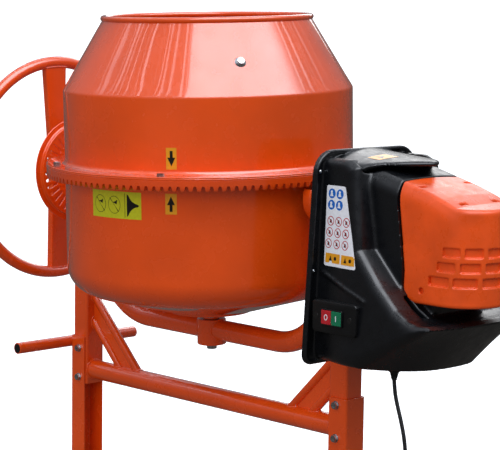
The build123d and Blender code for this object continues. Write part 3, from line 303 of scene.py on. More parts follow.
def make_finishes():
    """Every finish, under the name of the record's slot that it serves."""
    tint = bpy.context.scene.mixer_colours
    return {
        "orange_enamel": powder_coat("polyester_powder_coat", tuple(tint.enamel)),
        "orange_gear_ring": powder_coat("powder_coated_cast_iron", tuple(tint.gear), 0.3, 0.3),
        "black_plastic": moulded("moulded_polypropylene", tuple(tint.housing), 0.3, 1.6, 0.12),
        "orange_plastic": moulded("moulded_abs", tuple(tint.cap), 0.3, 1.4, 0.1),
        "switch_plastic": moulded("moulded_polyamide", hex_colour("#0E0F11"), 0.42, 1.0, 0.2),
        "stop_red": moulded("red_polycarbonate", hex_colour("#B81F2A"), 0.22, 2.0, 0.05, 1.58),
        "start_green": moulded("green_polycarbonate", hex_colour("#137A54"), 0.22, 2.0, 0.05, 1.58),
        "zinc_plated_steel": metal("zinc_plated_steel", hex_colour("#C3C7CB"), 0.28, 1.2),
        "machined_steel": metal("turned_steel", hex_colour("#A9A8A4"), 0.3, 0.8, (1, 6, 6)),
        "cast_iron": metal("sand_cast_iron", hex_colour("#5B5955"), 0.55, 1.6, (1, 1, 1), 0.5),
        "cast_aluminium": metal("die_cast_aluminium", hex_colour("#B4B6B8"), 0.42, 1.8, (1, 1, 1), 0.3),
        "bearing_bronze": metal("sintered_bronze", hex_colour("#B08048"), 0.38, 0.7),
        "tyre_rubber": moulded("vulcanised_rubber", hex_colour("#17171A"), 0.62, 1.5, 0.45, 1.52, 0.15),
        "foot_rubber": moulded("moulded_foot_rubber", hex_colour("#151517"), 0.58, 1.3, 0.4, 1.52, 0.15),
        "belt_rubber": moulded("ribbed_belt_rubber", hex_colour("#1B1B1B"), 0.66, 0.9, 0.4, 1.52, 0.1),
        "wheel_plastic": moulded("moulded_wheel_polypropylene", hex_colour("#1D1E20"), 0.36, 1.4, 0.2),
        "capacitor_plastic": moulded("capacitor_polypropylene", hex_colour("#C9CCCE"), 0.4, 1.4, 0.1),
        "cord_rubber": moulded("cord_neoprene", hex_colour("#141416"), 0.5, 1.0, 0.25, 1.52, 0.1),
        "white": printed("white_vinyl", "#EDF1FA"),
        "blue": printed("blue_ink", "#1268C9"),
        "red": printed("red_ink", "#C22A33"),
        "amber": printed("amber_vinyl", "#E8A01C"),
        "yellow": printed("yellow_green_vinyl", "#C9CC1E"),
        "black": printed("black_ink", "#151515"),
        "clear": clear_cover(),
    }


FINISH = {}


# ---- shapes ----
def rounded(points, radii, closed=True, arc=9.0):
    """The line through these points with its corners rounded, in two or three dimensions."""
    points = [np.array(p, float) for p in points]
    radii = list(radii) if hasattr(radii, "__len__") else [radii] * len(points)
    line = []
    for k, (corner, radius) in enumerate(zip(points, radii)):
        if radius <= 0 or (not closed and k in (0, len(points) - 1)):
            line.append(corner)
            continue
        to_last = points[k - 1] - corner
        to_next = points[(k + 1) % len(points)] - corner
        half_way = 0.499 * min(np.linalg.norm(to_last), np.linalg.norm(to_next))
        to_last, to_next = to_last / np.linalg.norm(to_last), to_next / np.linalg.norm(to_next)
        half = math.acos(float(np.clip(to_last @ to_next, -1, 1))) / 2
        if half > math.radians(89):
            line.append(corner)
            continue
        reach = min(radius / math.tan(half), half_way)
        middle = (to_last + to_next) / np.linalg.norm(to_last + to_next)
        centre = corner + middle * reach / math.cos(half)
        start, end = corner + to_last * reach - centre, corner + to_next * reach - centre
        turn_by = math.pi - 2 * half
        steps = max(2, math.ceil(math.degrees(turn_by) / arc))
        for share in np.linspace(0, 1, steps + 1):
            line.append(centre + (math.sin((1 - share) * turn_by) * start + math.sin(share * turn_by) * end)
                        / math.sin(turn_by))
    return np.array(line)


def circle(radius, steps=24):
    """A closed round section."""
    angle = np.linspace(0, 2 * math.pi, steps, endpoint=False)
    return np.stack([radius * np.cos(angle), radius * np.sin(angle)], -1)


def skin(rings, along=False, caps=False):
    """Quads over a row of closed rings; along closes the row, caps closes its two ends."""
    rings = np.asarray(rings, float)
    count, size = rings.shape[:2]
    first = np.arange(count if along else count - 1)[:, None] * size
    after = (first + size) % (count * size)
    here, there = np.arange(size)[None, :], (np.arange(size)[None, :] + 1) % size
    faces = np.stack([first + here, first + there, after + there, after + here], -1).reshape(-1, 4).tolist()
    if caps:
        faces += [list(range(size)), list(range((count - 1) * size, count * size))]
    return rings.reshape(-1, 3), faces


TURN_ORDER = {"X": [2, 0, 1], "Y": [1, 2, 0], "Z": [0, 1, 2]}


def turned(outline, steps=72, axis="Z", at=(0, 0, 0), closed=True, ripple=None):
    """A surface of revolution from an outline of radius and height. Ripple changes the rings before they turn."""
    outline = np.array(outline, float)
    angle = np.linspace(0, 2 * math.pi, steps, endpoint=False)[None, :]
    radius, height = outline[:, :1] + 0 * angle, outline[:, 1:] + 0 * angle
    if ripple:
        radius, height = ripple(radius, height, angle)
    rings = np.stack([radius * np.cos(angle), radius * np.sin(angle), height], -1)
    return skin(rings[..., TURN_ORDER[axis]] + np.array(at), closed)


def swept(path, section, up=(0, 1, 0), closed=False, swell=None, caps=True):
    """A section carried along a path; up stays square to the path's plane."""
    path = np.array(path, float)
    forward = np.roll(path, -1, 0) - np.roll(path, 1, 0) if closed else np.gradient(path, axis=0)
    forward /= np.linalg.norm(forward, axis=1)[:, None]
    side = np.cross(forward, np.array(up, float))
    side /= np.linalg.norm(side, axis=1)[:, None]
    top = np.cross(side, forward)
    swell = np.ones(len(path)) if swell is None else swell
    section = np.array(section, float)[None] * swell[:, None, None]
    rings = path[:, None] + side[:, None] * section[..., :1] + top[:, None] * section[..., 1:]
    return skin(rings, closed, caps and not closed)


def prism(outline, axis, start, end):
    """An outline of the other two coordinates, in their cyclic order, carried from start to end along an axis."""
    outline = np.array(outline, float)
    rings = [np.concatenate([outline, np.full((len(outline), 1), at)], 1) for at in (start, end)]
    return skin(np.array(rings)[..., TURN_ORDER[axis]], caps=True)


def cuboid(x, y, z):
    """A block between three pairs of coordinates."""
    return prism([(x[0], y[0]), (x[1], y[0]), (x[1], y[1]), (x[0], y[1])], "Z", *z)


def plate(loops, thickness, bevel=0.6):
    """A flat sheet in X and Y with its holes, standing from zero to its thickness."""
    curve = bpy.data.curves.new("plate", "CURVE")
    curve.dimensions, curve.fill_mode = "2D", "BOTH"
    curve.extrude, curve.bevel_depth, curve.offset, curve.bevel_resolution = thickness / 2 - bevel, bevel, -bevel, 1
    for k, loop in enumerate(loops):
        loop = np.array(loop, float)
        turning = np.sum(loop[:, 0] * np.roll(loop[:, 1], -1) - loop[:, 1] * np.roll(loop[:, 0], -1))
        if (turning > 0) == (k > 0):
            loop = loop[::-1]
        spline = curve.splines.new("POLY")
        spline.points.add(len(loop) - 1)
        spline.points.foreach_set("co", np.pad(loop, ((0, 0), (0, 2))).ravel())
        spline.use_cyclic_u = True
    holder = bpy.data.objects.new("plate", curve)
    bpy.context.scene.collection.objects.link(holder)
    mesh = bpy.data.meshes.new_from_object(holder.evaluated_get(bpy.context.evaluated_depsgraph_get()))
    verts = np.array([v.co[:] for v in mesh.vertices]) + (0, 0, thickness / 2)
    faces = [list(p.vertices) for p in mesh.polygons]
    bpy.data.objects.remove(holder)
    bpy.data.curves.remove(curve)
    bpy.data.meshes.remove(mesh)
    return verts, faces


def moved(shape, matrix):
    """A shape carried by a matrix."""
    matrix = np.array(matrix)
    return shape[0] @ matrix[:3, :3].T + matrix[:3, 3], shape[1]


def aimed(at, along):
    """The matrix that stands a shape's Z along a direction at a point."""
    return Matrix.Translation(Vector(at)) @ Vector(along).to_track_quat("Z", "Y").to_matrix().to_4x4()


def hexagon_head(flats, low, high):
    """A hexagon head or nut with the round chamfer that its turning leaves."""
    angle = np.linspace(0, 2 * math.pi, 72, endpoint=False)
    edge = flats / 2 / np.cos(angle % (math.pi / 3) - math.pi / 6)
    fall = np.maximum(edge - 0.49 * flats, 0) * 0.6
    rings = []
    for radius, height in ((edge * 0, low), (edge, low), (edge, high - fall), (edge * 0 + 0.46 * flats, high),
                           (edge * 0 + 0.3 * flats, high), (edge * 0 + 0.27 * flats, high - 0.3), (edge * 0, high - 0.3)):
        rings.append(np.stack([radius * np.cos(angle), radius * np.sin(angle), height + 0 * angle], -1))
    return skin(rings)


def washer(radius, thickness=1.6):
    """A plain washer with broken edges."""
    return turned(rounded([(0, 0), (radius, 0), (radius, thickness), (0, thickness)], [0, 0.4, 0.4, 0]), 40)


def screw_head(at, along, flats=13.0, height=5.5, washer_r=8.5):
    """A washer with a hexagon head on it, standing on a surface."""
    place = aimed(at, along)
    return [moved(washer(washer_r), place), moved(hexagon_head(flats, 1.6, 1.6 + height), place)]


def bead(line, radius=None, closed=True):
    """A weld bead along a line, with the ripples that its weaving leaves."""
    radius = radius or bpy.context.scene.mixer_sizes.weld_bead / MM
    line = np.array(line, float)
    if closed:
        line = np.vstack([line, line[:1]])
    step = np.r_[0, np.cumsum(np.linalg.norm(np.diff(line, axis=0), axis=1))]
    count = max(16, int(step[-1] / 0.8))
    at = np.linspace(0, step[-1], count, endpoint=not closed)
    path = np.stack([np.interp(at, step, line[:, k]) for k in range(3)], -1)
    swell = 0.86 + 0.16 * np.abs(np.sin(at / 3.0 * math.pi / 2)) + 0.05 * np.sin(at * 0.37)
    forward = path[1] - path[0]
    spread = path.max(0) - path.min(0)
    up = np.eye(3)[int(np.argmin(spread))]
    if abs(up @ forward) > 0.9 * np.linalg.norm(forward):
        up = np.eye(3)[(int(np.argmin(spread)) + 1) % 3]
    return swept(path, circle(radius, 8), up, closed, swell)


def piece(name, shapes, body, slot, place=STAND, replaces=(), bevel=0.0, angle=38.0, finishes=None, owner=None):
    """Joins shapes into one object, gives it its finish and sets it on its body."""
    verts, faces, owners, count = [], [], [], 0
    for k, (points, polygons) in enumerate(shapes):
        verts.append(points)
        faces += [[i + count for i in polygon] for polygon in polygons]
        owners += [owner[k] if owner else 0] * len(polygons)
        count += len(points)
    mesh = bpy.data.meshes.new(name)
    mesh.from_pydata(np.concatenate(verts).tolist(), [], faces)
    mesh.polygons.foreach_set("material_index", owners)
    mesh.transform(place)
    form = bmesh.new()
    form.from_mesh(mesh)
    bmesh.ops.remove_doubles(form, verts=form.verts, dist=0.004 * MM)
    bmesh.ops.dissolve_degenerate(form, edges=form.edges, dist=0.002 * MM)
    bmesh.ops.recalc_face_normals(form, faces=form.faces)
    form.to_mesh(mesh)
    form.free()
    mesh.shade_smooth()
    mesh.set_sharp_from_angle(angle=math.radians(angle))
    for finish in finishes or [slot]:
        mesh.materials.append(FINISH[finish])
    obj = bpy.data.objects.new(name, mesh)
    bpy.context.scene.collection.objects.link(obj)
    if bevel:
        edge = obj.modifiers.new("edges", "BEVEL")
        edge.width, edge.segments, edge.limit_method, edge.angle_limit = bevel * MM, 3, "ANGLE", math.radians(40)
        edge.harden_normals = True
    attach(obj, body)
    if replaces:
        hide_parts(*replaces)
    return obj


# ---- distance functions for the mouldings ----
def smooth_max(a, b, blend):
    """The overlap of two forms with its edge rounded."""
    near = np.maximum(blend - np.abs(a - b), 0) / blend
    return np.maximum(a, b) + near * near * blend / 4


def smooth_min(a, b, blend):
    """The union of two forms with its corner filled."""
    return -smooth_max(-a, -b, blend)


def ramp(value, low, high):
    """A smooth step from 0 to 1."""
    share = np.clip((value - low) / (high - low), 0, 1)
    return share * share * (3 - 2 * share)


def outline_distance(u, v, corners):
    """Distance from an outline, less than zero inside it."""
    nearest, inside = np.full(u.shape, 1e9), np.zeros(u.shape, bool)
    for (u0, v0), (u1, v1) in zip(corners, list(corners[1:]) + [corners[0]]):
        run_u, run_v = u1 - u0, v1 - v0
        off_u, off_v = u - u0, v - v0
        share = np.clip((off_u * run_u + off_v * run_v) / (run_u * run_u + run_v * run_v), 0, 1)
        nearest = np.minimum(nearest, (off_u - run_u * share) ** 2 + (off_v - run_v * share) ** 2)
        if run_v:
            inside ^= ((v0 > v) != (v1 > v)) & (u < run_u * off_v / run_v + u0)
    return np.sqrt(nearest) * np.where(inside, -1, 1)


def moulding(field, low, high, step):
    """Meshes the surface where a distance function is zero, one vertex to each cell that it crosses."""
    sides = [np.arange(a, b + step, step) for a, b in zip(low, high)]
    grid = np.meshgrid(*sides, indexing="ij")
    inside = field(*grid) < 0
    cells = [inside[i:inside.shape[0] - 1 + i, j:inside.shape[1] - 1 + j, k:inside.shape[2] - 1 + k]
             for i in (0, 1) for j in (0, 1) for k in (0, 1)]
    crossed = np.any(cells, 0) & ~np.all(cells, 0)
    number = np.full(crossed.shape, -1)
    number[crossed] = np.arange(crossed.sum())
    start = np.argwhere(crossed) * step + np.array(low) + step / 2
    points = start.copy()
    nudge = 0.05
    for _ in range(6):
        value = field(*points.T)
        slope = np.stack([(field(*(points + nudge * np.eye(3)[k]).T) - value) / nudge for k in range(3)], -1)
        points -= (value / np.maximum((slope ** 2).sum(1), 0.2))[:, None] * slope
        points = np.clip(points, start - step * 0.9, start + step * 0.9)
    faces = []
    for axis in range(3):
        solid, index = np.moveaxis(inside, axis, 0), np.moveaxis(number, axis, 0)
        i, j, k = np.argwhere(solid[1:, 1:-1, 1:-1] != solid[:-1, 1:-1, 1:-1]).T
        faces.append(np.stack([index[i, j, k], index[i, j + 1, k], index[i, j + 1, k + 1], index[i, j, k + 1]], 1))
    faces = np.concatenate(faces)
    return points, faces[(faces >= 0).all(1)].tolist()


# ---- operators ----
class MixerStage(bpy.types.Operator):
    """Sets the floor, the soft lights and the camera."""

    bl_idname = "mixer.stage"
    bl_label = "Stage"

    def execute(self, context):
        scene = context.scene
        floor_mesh = bpy.data.meshes.new("floor")
        cove = rounded([(0, 0), (60, 0), (60, 60)], 12, closed=False)
        verts, faces = turned(cove, 64, closed=False)
        floor_mesh.from_pydata(verts.tolist(), [], faces)
        floor_mesh.shade_smooth()
        floor = bpy.data.objects.new("floor", floor_mesh)
        material, tree = blank("pale_studio_floor")
        surface(tree, [("Base Color", hex_colour("#F4F4F4")), ("Roughness", 0.9), ("Specular IOR Level", 0.1),
                       ("Emission Color", hex_colour("#FFFFFF")), ("Emission Strength", 0.45)])
        floor_mesh.materials.append(material)
        scene.collection.objects.link(floor)
        floor.visible_glossy = floor.visible_diffuse = False
        world = bpy.data.worlds.new("studio")
        world.use_nodes = True
        world.node_tree.nodes.clear()
        sky(world.node_tree)
        scene.world = world
        for light in (
            ("front", "#FFF6EE", 60.0, 3.4, (1.2, -4.8, 1.9), (0, 0, 0.8)),
            ("rim", "#FFFFFF", 40.0, 2.2, (-2.4, 3.6, 3.2), (0, 0, 1.1)),
        ):
            area_light(*light)
        camera_data = bpy.data.cameras.new("camera")
        camera_data.sensor_width, camera_data.lens = CAMERA_SENSOR, CAMERA_LENS
        camera = bpy.data.objects.new("camera", camera_data)
        bearing, pitch, roll = (math.radians(angle) for angle in CAMERA_ANGLES)
        level = Vector((-math.sin(bearing), math.cos(bearing), 0))
        forward = level * math.cos(pitch) - Vector((0, 0, 1)) * math.sin(pitch)
        right = forward.cross(Vector((0, 0, 1))).normalized()
        up = right.cross(forward)
        turned_right = right * math.cos(roll) + up * math.sin(roll)
        turned_up = up * math.cos(roll) - right * math.sin(roll)
        basis = Matrix((turned_right, turned_up, -forward)).transposed().to_4x4()
        camera.matrix_world = Matrix.Translation((2.658, -2.598, 1.3537)) @ basis
        scene.collection.objects.link(camera)
        scene.camera = camera
        scene.view_settings.view_transform = "Standard"
        return {"FINISHED"}


def sky(tree):
    """An overcast sky, brightest high up on the side that the drum's cone mirrors, and broken into streaks by trees
    on the other side. It darkens towards the horizon, so the paint keeps its depth."""
    where = add_node(tree, "ShaderNodeTexCoord")
    parts = add_node(tree, "ShaderNodeSeparateXYZ", [("Vector", where.outputs["Generated"])])
    east, north, height = parts.outputs

    def math_node(kind, *values):
        return add_node(tree, "ShaderNodeMath", list(enumerate(values)), operation=kind).outputs[0]

    def step(value, low, high):
        return add_node(tree, "ShaderNodeMapRange", [("Value", value), ("From Min", low), ("From Max", high)],
                        interpolation_type="SMOOTHSTEP").outputs[0]

    bearing = math_node("ARCTAN2", north, east)
    bright_side = math_node("MULTIPLY", step(bearing, math.radians(-68), math.radians(-65)),
                            math_node("SUBTRACT", 1.0, step(bearing, math.radians(38), math.radians(60))))
    trees = add_node(tree, "ShaderNodeTexNoise", [("W", math_node("MULTIPLY", bearing, 9.0)), ("Scale", 1.6),
                                                  ("Detail", 4.0)], noise_dimensions="1D").outputs[0]
    streaks = math_node("MULTIPLY", step(trees, 0.5, 0.66), 0.75)
    open_sky = math_node("MULTIPLY", math_node("MAXIMUM", bright_side, streaks), step(height, 0.35, 0.72))
    low_sky = add_node(tree, "ShaderNodeMix", [(0, step(height, 0.0, 0.5)), (6, (0.2, 0.19, 0.18, 1)),
                                               (7, (0.62, 0.66, 0.74, 1))], data_type="RGBA").outputs[2]
    colour = add_node(tree, "ShaderNodeMix", [(0, open_sky), (6, low_sky), (7, (2.5, 2.6, 2.8, 1))],
                      data_type="RGBA").outputs[2]
    # Mirrored sky is brighter than its soft light, as where the sun is just behind thin cloud.
    mirrored = add_node(tree, "ShaderNodeLightPath").outputs["Is Glossy Ray"]
    lift = math_node("MULTIPLY_ADD", open_sky, 2.0, -0.45)
    strength = math_node("MULTIPLY_ADD", mirrored, lift, 0.95)
    background = add_node(tree, "ShaderNodeBackground", [("Color", colour), ("Strength", strength)])
    add_node(tree, "ShaderNodeOutputWorld", [("Surface", background.outputs[0])])


def area_light(name, colour, power, size, at, target):
    """A square soft box aimed at a point."""
    data = bpy.data.lights.new(name, "AREA")
    data.color, data.energy, data.size = hex_colour(colour)[:3], power, size
    light = bpy.data.objects.new(name, data)
    light.location = at
    light.visible_glossy = name == "rim"
    light.rotation_euler = (Vector(target) - Vector(at)).to_track_quat("-Z", "Y").to_euler()
    bpy.context.scene.collection.objects.link(light)


class MixerCord(bpy.types.Operator):
    """Lays the cord, its strain relief and its plug."""

    bl_idname = "mixer.cord"
    bl_label = "Cord"

    def execute(self, context):
        floor_z = GROUND + CORD_D / 2 + 0.5
        start = -310.0
        route = [
            (600, -90, start), (602, -90, start - 22), (609, -90, start - 46), (619, -90, start - 74),
            (628, -90, start - 106), (633, -90, start - 145), (635, -91, start - 195), (633, -92, start - 260),
            (627, -95, start - 340), (619, -98, start - 425), (613, -102, start - 505), (611, -105, start - 562),
            (611, -106, floor_z + 64), (616, -96, floor_z + 34), (625, -75, floor_z + 12), (636, -47, floor_z),
            (644, -17, floor_z),
        ]
        route += self.coil(floor_z)
        end_x = span("plug")[0][0] + 18.5
        route += [(end_x, -8, GROUND + 17), (end_x, -18, GROUND + 19), (end_x, -24, GROUND + 19)]
        curve = bpy.data.curves.new("power_cord_line", "CURVE")
        curve.dimensions, curve.bevel_depth, curve.bevel_resolution = "3D", 1.0, 6
        curve.resolution_u, curve.use_fill_caps = 10, True
        spline = curve.splines.new("NURBS")
        spline.points.add(len(route) - 1)
        for point, place in zip(spline.points, route):
            point.co = (*(STAND @ Vector(place)), 1)
            point.radius = CORD_D / 2 * MM
        spline.order_u = 3
        spline.use_endpoint_u = True
        cord = bpy.data.objects.new("cord_line", curve)
        curve.materials.append(FINISH["cord_rubber"])
        bpy.context.scene.collection.objects.link(cord)
        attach(cord, "stand")
        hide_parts("power_cord", "cord_coil")
        plug = self.plug(end_x)
        length = self.measure(cord)
        tie = self.tie(floor_z)
        self.gland()
        return {"FINISHED"}

    def coil(self, floor_z):
        """Four turns, two beside each other and two on top, wound clockwise."""
        points = []
        per_turn = 12
        for k in range(4 * per_turn + 7):
            turn = k / per_turn
            angle = math.pi - 2 * math.pi * turn
            layer = min(1.0, max(0.0, (turn - 1.7) / 0.5))
            inward = turn if turn < 2 else 3.9 - turn
            radius = COIL_R + CORD_D * 0.62 - CORD_D * 1.08 * min(1.0, max(0.0, inward - 0.2))
            points.append((COIL_AT[0] + radius * math.cos(angle), COIL_AT[1] + radius * math.sin(angle),
                           floor_z + layer * (CORD_D + 0.6)))
        return points

    def measure(self, cord):
        """The length of the cord's own spline."""
        bevel, cord.data.bevel_depth = cord.data.bevel_depth, 0
        mesh = bpy.data.meshes.new_from_object(cord.evaluated_get(bpy.context.evaluated_depsgraph_get()))
        points = np.array([v.co[:] for v in mesh.vertices])
        bpy.data.meshes.remove(mesh)
        cord.data.bevel_depth = bevel
        return float(np.linalg.norm(np.diff(points, axis=0), axis=1).sum())

    def plug(self, x):
        """A moulded plug with a ribbed grip and two round pins."""
        z = GROUND + 19
        outline = rounded([(0, -20), (5.4, -20), (6.6, -44), (10, -47), (10.5, -58), (17.5, -62), (18.4, -90),
                           (17.8, -92), (0, -92)], [0, 1, 2, 3, 3, 4, 1.5, 1, 0])
        ribs = [turned(rounded([(5, y), (7.6, y), (7.6, y - 2.4), (5, y - 2.4)], 0.6), 32, "Y", (x, 0, z))
                for y in (-24, -29, -34, -39)]
        grip = [turned(rounded([(17, y), (18.5, y), (18.5, y - 3), (17, y - 3)], 0.5), 48, "Y", (x, 0, z))
                for y in (-68, -74, -80)]
        plug = piece("plug_body", [turned(outline, 48, "Y", (x, 0, z))] + ribs + grip, "stand", "cord_rubber",
                     replaces=["plug"])
        pins = [turned(rounded([(0, -92), (2.4, -92), (2.4, -111), (0, -111)], [0, 0, 1.2, 0]), 24, "Y",
                       (x + side, 0, z)) for side in (-9.5, 9.5)]
        pin_piece = piece("plug_pins", pins, "stand", "zinc_plated_steel")
        pin_piece.parent = plug
        pin_piece.matrix_parent_inverse = plug.matrix_world.inverted()
        return plug

    def tie(self, floor_z):
        """A hook-and-loop tie round the coil's turns."""
        x, z = COIL_AT[0], floor_z + CORD_D / 2
        loop = rounded([(-9.2, -7.6), (9.2, -7.6), (9.2, 9.0), (-9.2, 9.0)], 3.5)
        path = [(x, COIL_AT[1] + COIL_R + a, z + b) for a, b in loop]
        band = swept(path, rounded([(-0.35, -6), (0.35, -6), (0.35, 6), (-0.35, 6)], 0.3), (1, 0, 0), True)
        return piece("cord_tie", [band], "stand", "cord_rubber")

    def gland(self):
        """A hexagon gland nut with a ribbed, tapered strain relief."""
        low, high = span("cable_gland")
        x, y, top, bottom = (low[0] + high[0]) / 2, (low[1] + high[1]) / 2, high[2], low[2]
        nut = moved(hexagon_head(22, 0, 6), aimed((x, y, top), (0, 0, -1)))
        taper = [(3.9, top), (9.5, top - 4), (8.6, top - 8)]
        for k in range(5):
            at = top - 8 - 2.8 * k
            taper += [(8.2 - 0.7 * k, at - 0.4), (8.2 - 0.7 * k, at - 1.6), (6.9 - 0.62 * k, at - 1.8),
                      (6.9 - 0.62 * k, at - 2.6)]
        taper += [(4.3, bottom), (3.8, bottom)]
        piece("cable_gland_nut", [nut, turned(taper, 40, "Z", (x, y, 0))], "stand", "switch_plastic",
              replaces=["cable_gland"])


class MixerDrum(bpy.types.Operator):
    """Shapes the drum's two shells, the gear ring, the paddles and their bolts."""

    bl_idname = "mixer.drum"
    bl_label = "Drum"

    def execute(self, context):
        sizes = context.scene.mixer_sizes
        bend, shoulder, ripple = sizes.flange_bend / MM, sizes.shoulder_bend / MM, sizes.cone_ripple / MM
        self.upper(bend, shoulder, ripple)
        self.lower(bend)
        self.gear_ring()
        self.bolts()
        self.paddles()
        self.labels()
        return {"FINISHED"}

    def upper(self, bend, shoulder, ripple):
        base, top = FLANGE_TOP - SHEET, FLANGE_TOP
        wall = SHEET
        rim_in = RIM_R - wall / math.sin(CONE_SLOPE)
        outer = [(FLANGE_R, base), (FLANGE_R, top), (DRUM_R, top), (DRUM_R, SHOULDER_Z), (RIM_R, RIM_Z)]
        outer_r = [1.2, 1.2, bend, shoulder, 0]
        inner = [(rim_in, RIM_Z), (DRUM_R - wall, SHOULDER_Z - 1), (DRUM_R - wall, base)]
        outline = rounded(outer + inner, outer_r + [0, shoulder - wall, 1.0], arc=6)
        dense = [outline[0]]
        for a, b in zip(outline, list(outline[1:]) + [outline[0]]):
            pieces_between = max(1, int(np.linalg.norm(b - a) / 12))
            dense += [a + (b - a) * k / pieces_between for k in range(1, pieces_between + 1)]

        def uneven(radius, height, angle):
            wave = sum(a * np.sin(n * angle + p) for n, a, p in
                       ((5, 0.9, 0.4), (9, 0.7, 2.1), (16, 0.55, 4.0), (23, 0.45, 1.1), (38, 0.22, 5.2)))
            on_cone = ramp(height, SHOULDER_Z + 2, SHOULDER_Z + 40) * (1 - ramp(height, RIM_Z - 25, RIM_Z - 4))
            crease = np.exp(-((height - SHOULDER_Z) / 9) ** 2)
            crinkle = sum(np.sin(n * angle + p) for n, p in ((61, 0.3), (97, 1.9), (143, 4.4)))
            wall_wave = ramp(height, 70, 110) * (1 - ramp(height, 165, 195)) * np.sin(7 * angle + 1)
            grown = ripple * (wave * on_cone * 0.8 + 0.14 * crinkle * crease + 0.35 * wall_wave)
            return radius + grown, height

        shell = turned(dense[:-1], 540, ripple=uneven)
        rim = turned(circle(BEAD_R, 20) + (RIM_R, RIM_Z), 300)
        piece("drum_upper_shell", [shell, rim], "drum", "orange_enamel", LEANING, ["drum_upper"], angle=30)

    def lower(self, bend):
        wall = SHEET
        top, base = FLANGE_TOP - SHEET, FLANGE_TOP - 2 * SHEET
        centre = DRUM_R - BOWL_CORNER_R

        def bowl(inset):
            corner = BOWL_CORNER_R - inset
            arc = [(centre + corner * math.cos(a), BOWL_CORNER_Z - corner * math.sin(a))
                   for a in np.linspace(0, BOWL_SLOPE, 18)]
            bottom = BOWL_BOTTOM + inset
            flat_r = arc[-1][0] - (arc[-1][1] - bottom) * math.tan(BOWL_SLOPE)
            return arc, [(flat_r + 6, bottom + 1.8), (flat_r, bottom + 0.4), (flat_r - 8, bottom), (0, bottom)]

        arc_out, floor_out = bowl(0)
        arc_in, floor_in = bowl(wall)
        start = rounded([(DRUM_R - wall, top), (FLANGE_R, top), (FLANGE_R, base), (DRUM_R, base),
                         (DRUM_R, BOWL_CORNER_Z)], [0, 1.2, 1.2, bend, 0], closed=False, arc=8)
        outline = list(start[:-1]) + arc_out + floor_out + floor_in[::-1] + arc_in[::-1]

        def uneven(radius, height, angle):
            wave = 0.18 * np.sin(6 * angle + 0.7) + 0.1 * np.sin(11 * angle + 2)
            return radius + wave * ramp(-height, -20, 60) * ramp(radius, 120, 240), height

        piece("drum_lower_shell", [turned(outline, 360, ripple=uneven)], "drum", "orange_enamel", LEANING,
              ["drum_lower"], angle=30)
        low, high = span("drum_spindle", LEANING)
        hub = rounded([(0, low[2]), (12.5, low[2]), (12.5, -283.5), (17.5, -283.5), (17.5, BOWL_BOTTOM - 7),
                       (high[0], BOWL_BOTTOM - 7), (high[0], BOWL_BOTTOM), (0, BOWL_BOTTOM)],
                      [0, 1, 0, 0.5, 3, 2, 1, 0])
        collar = turned(circle(2.6, 10) + (18.5, BOWL_BOTTOM - 7.5), 60)
        piece("drum_spindle_hub", [turned(hub, 96), collar], "drum", "orange_enamel", LEANING, ["drum_spindle"])

    def gear_ring(self):
        """A cast crown ring whose teeth point down and have rounded tips."""
        per_tooth = 14
        steps = TEETH * per_tooth
        angle = np.linspace(0, 2 * math.pi, steps, endpoint=False)
        across = np.abs((angle * TEETH / (2 * math.pi) + 0.5) % 1 - 0.5) * 2
        share = 1 - ramp(across, 0.36, 0.72)
        share = np.round(share, 4)
        tooth = TOOTH_ROOT + (TOOTH_TIP - TOOTH_ROOT) * share
        top = FLANGE_TOP - 2 * SHEET
        outer = FLANGE_R - 0.3
        rows = [(DRUM_R + 1.5, top, 0), (DRUM_R + 0.6, top - 1, 0), (DRUM_R + 0.6, TOOTH_ROOT + 1, 0),
                (DRUM_R + 1.6, TOOTH_ROOT, 0), (GEAR_IN_R - 1.5, TOOTH_ROOT, 0), (GEAR_IN_R, TOOTH_ROOT - 0.6, 0.35),
                (GEAR_IN_R + 1.0, TOOTH_ROOT, 0.94), (GEAR_IN_R + 2.2, TOOTH_ROOT, 1), (outer - 2.0, TOOTH_ROOT, 1),
                (outer - 0.7, TOOTH_ROOT, 0.95), (outer, TOOTH_ROOT, 0.84), (outer, TOOTH_ROOT + 1.2, 0),
                (outer, top - 1, 0), (outer - 1, top, 0)]
        rings = []
        for radius, height, weight in rows:
            level = height + (tooth - TOOTH_ROOT) * weight
            rings.append(np.stack([radius * np.cos(angle), radius * np.sin(angle), level], -1))
        piece("crown_gear", [skin(rings, True)], "drum", "orange_gear_ring", LEANING, ["ring_gear"], angle=42)

    def bolts(self):
        shapes = []
        low = BOWL_BOTTOM - 7
        for k in range(6):
            turn = math.radians(60 * k - 120)
            at = (319 * math.cos(turn), 319 * math.sin(turn), FLANGE_TOP - 1.6)
            shapes += screw_head(at, (0, 0, 1))
        piece("flange_bolt_heads", shapes, "drum", "zinc_plated_steel", LEANING, ["flange_bolts"])
        shapes = []
        for k in range(4):
            turn = math.radians(45 + 90 * k)
            x, y = 58 * math.cos(turn), 58 * math.sin(turn)
            shapes += screw_head((x, y, low + 1.6), (0, 0, -1))
            shapes += screw_head((x, y, BOWL_BOTTOM + SHEET - 1.6), (0, 0, 1))
        shapes += screw_head((0, 0, -340), (0, 0, -1), 19, 7.5, 15)
        for turn in PADDLE_ANGLES:
            spot, out = self.cone_spot(turn, 0)
            dish = turned([(0, 3.4), (5, 3.4), (7.4, 2.2), (10.5, 0.5), (11.5, -0.6), (0, -0.6)], 48)
            shapes.append(moved(dish, aimed(spot, out)))
            shapes.append(moved(hexagon_head(13, 1.4, 7.5), aimed(spot, out)))
            spot, out = self.cone_spot(turn, -SHEET - 5.6)
            shapes.append(moved(hexagon_head(13, 0, 5.5), aimed(spot, -out)))
        piece("drum_bolt_heads", shapes, "drum", "zinc_plated_steel", LEANING, ["drum_bolts"])

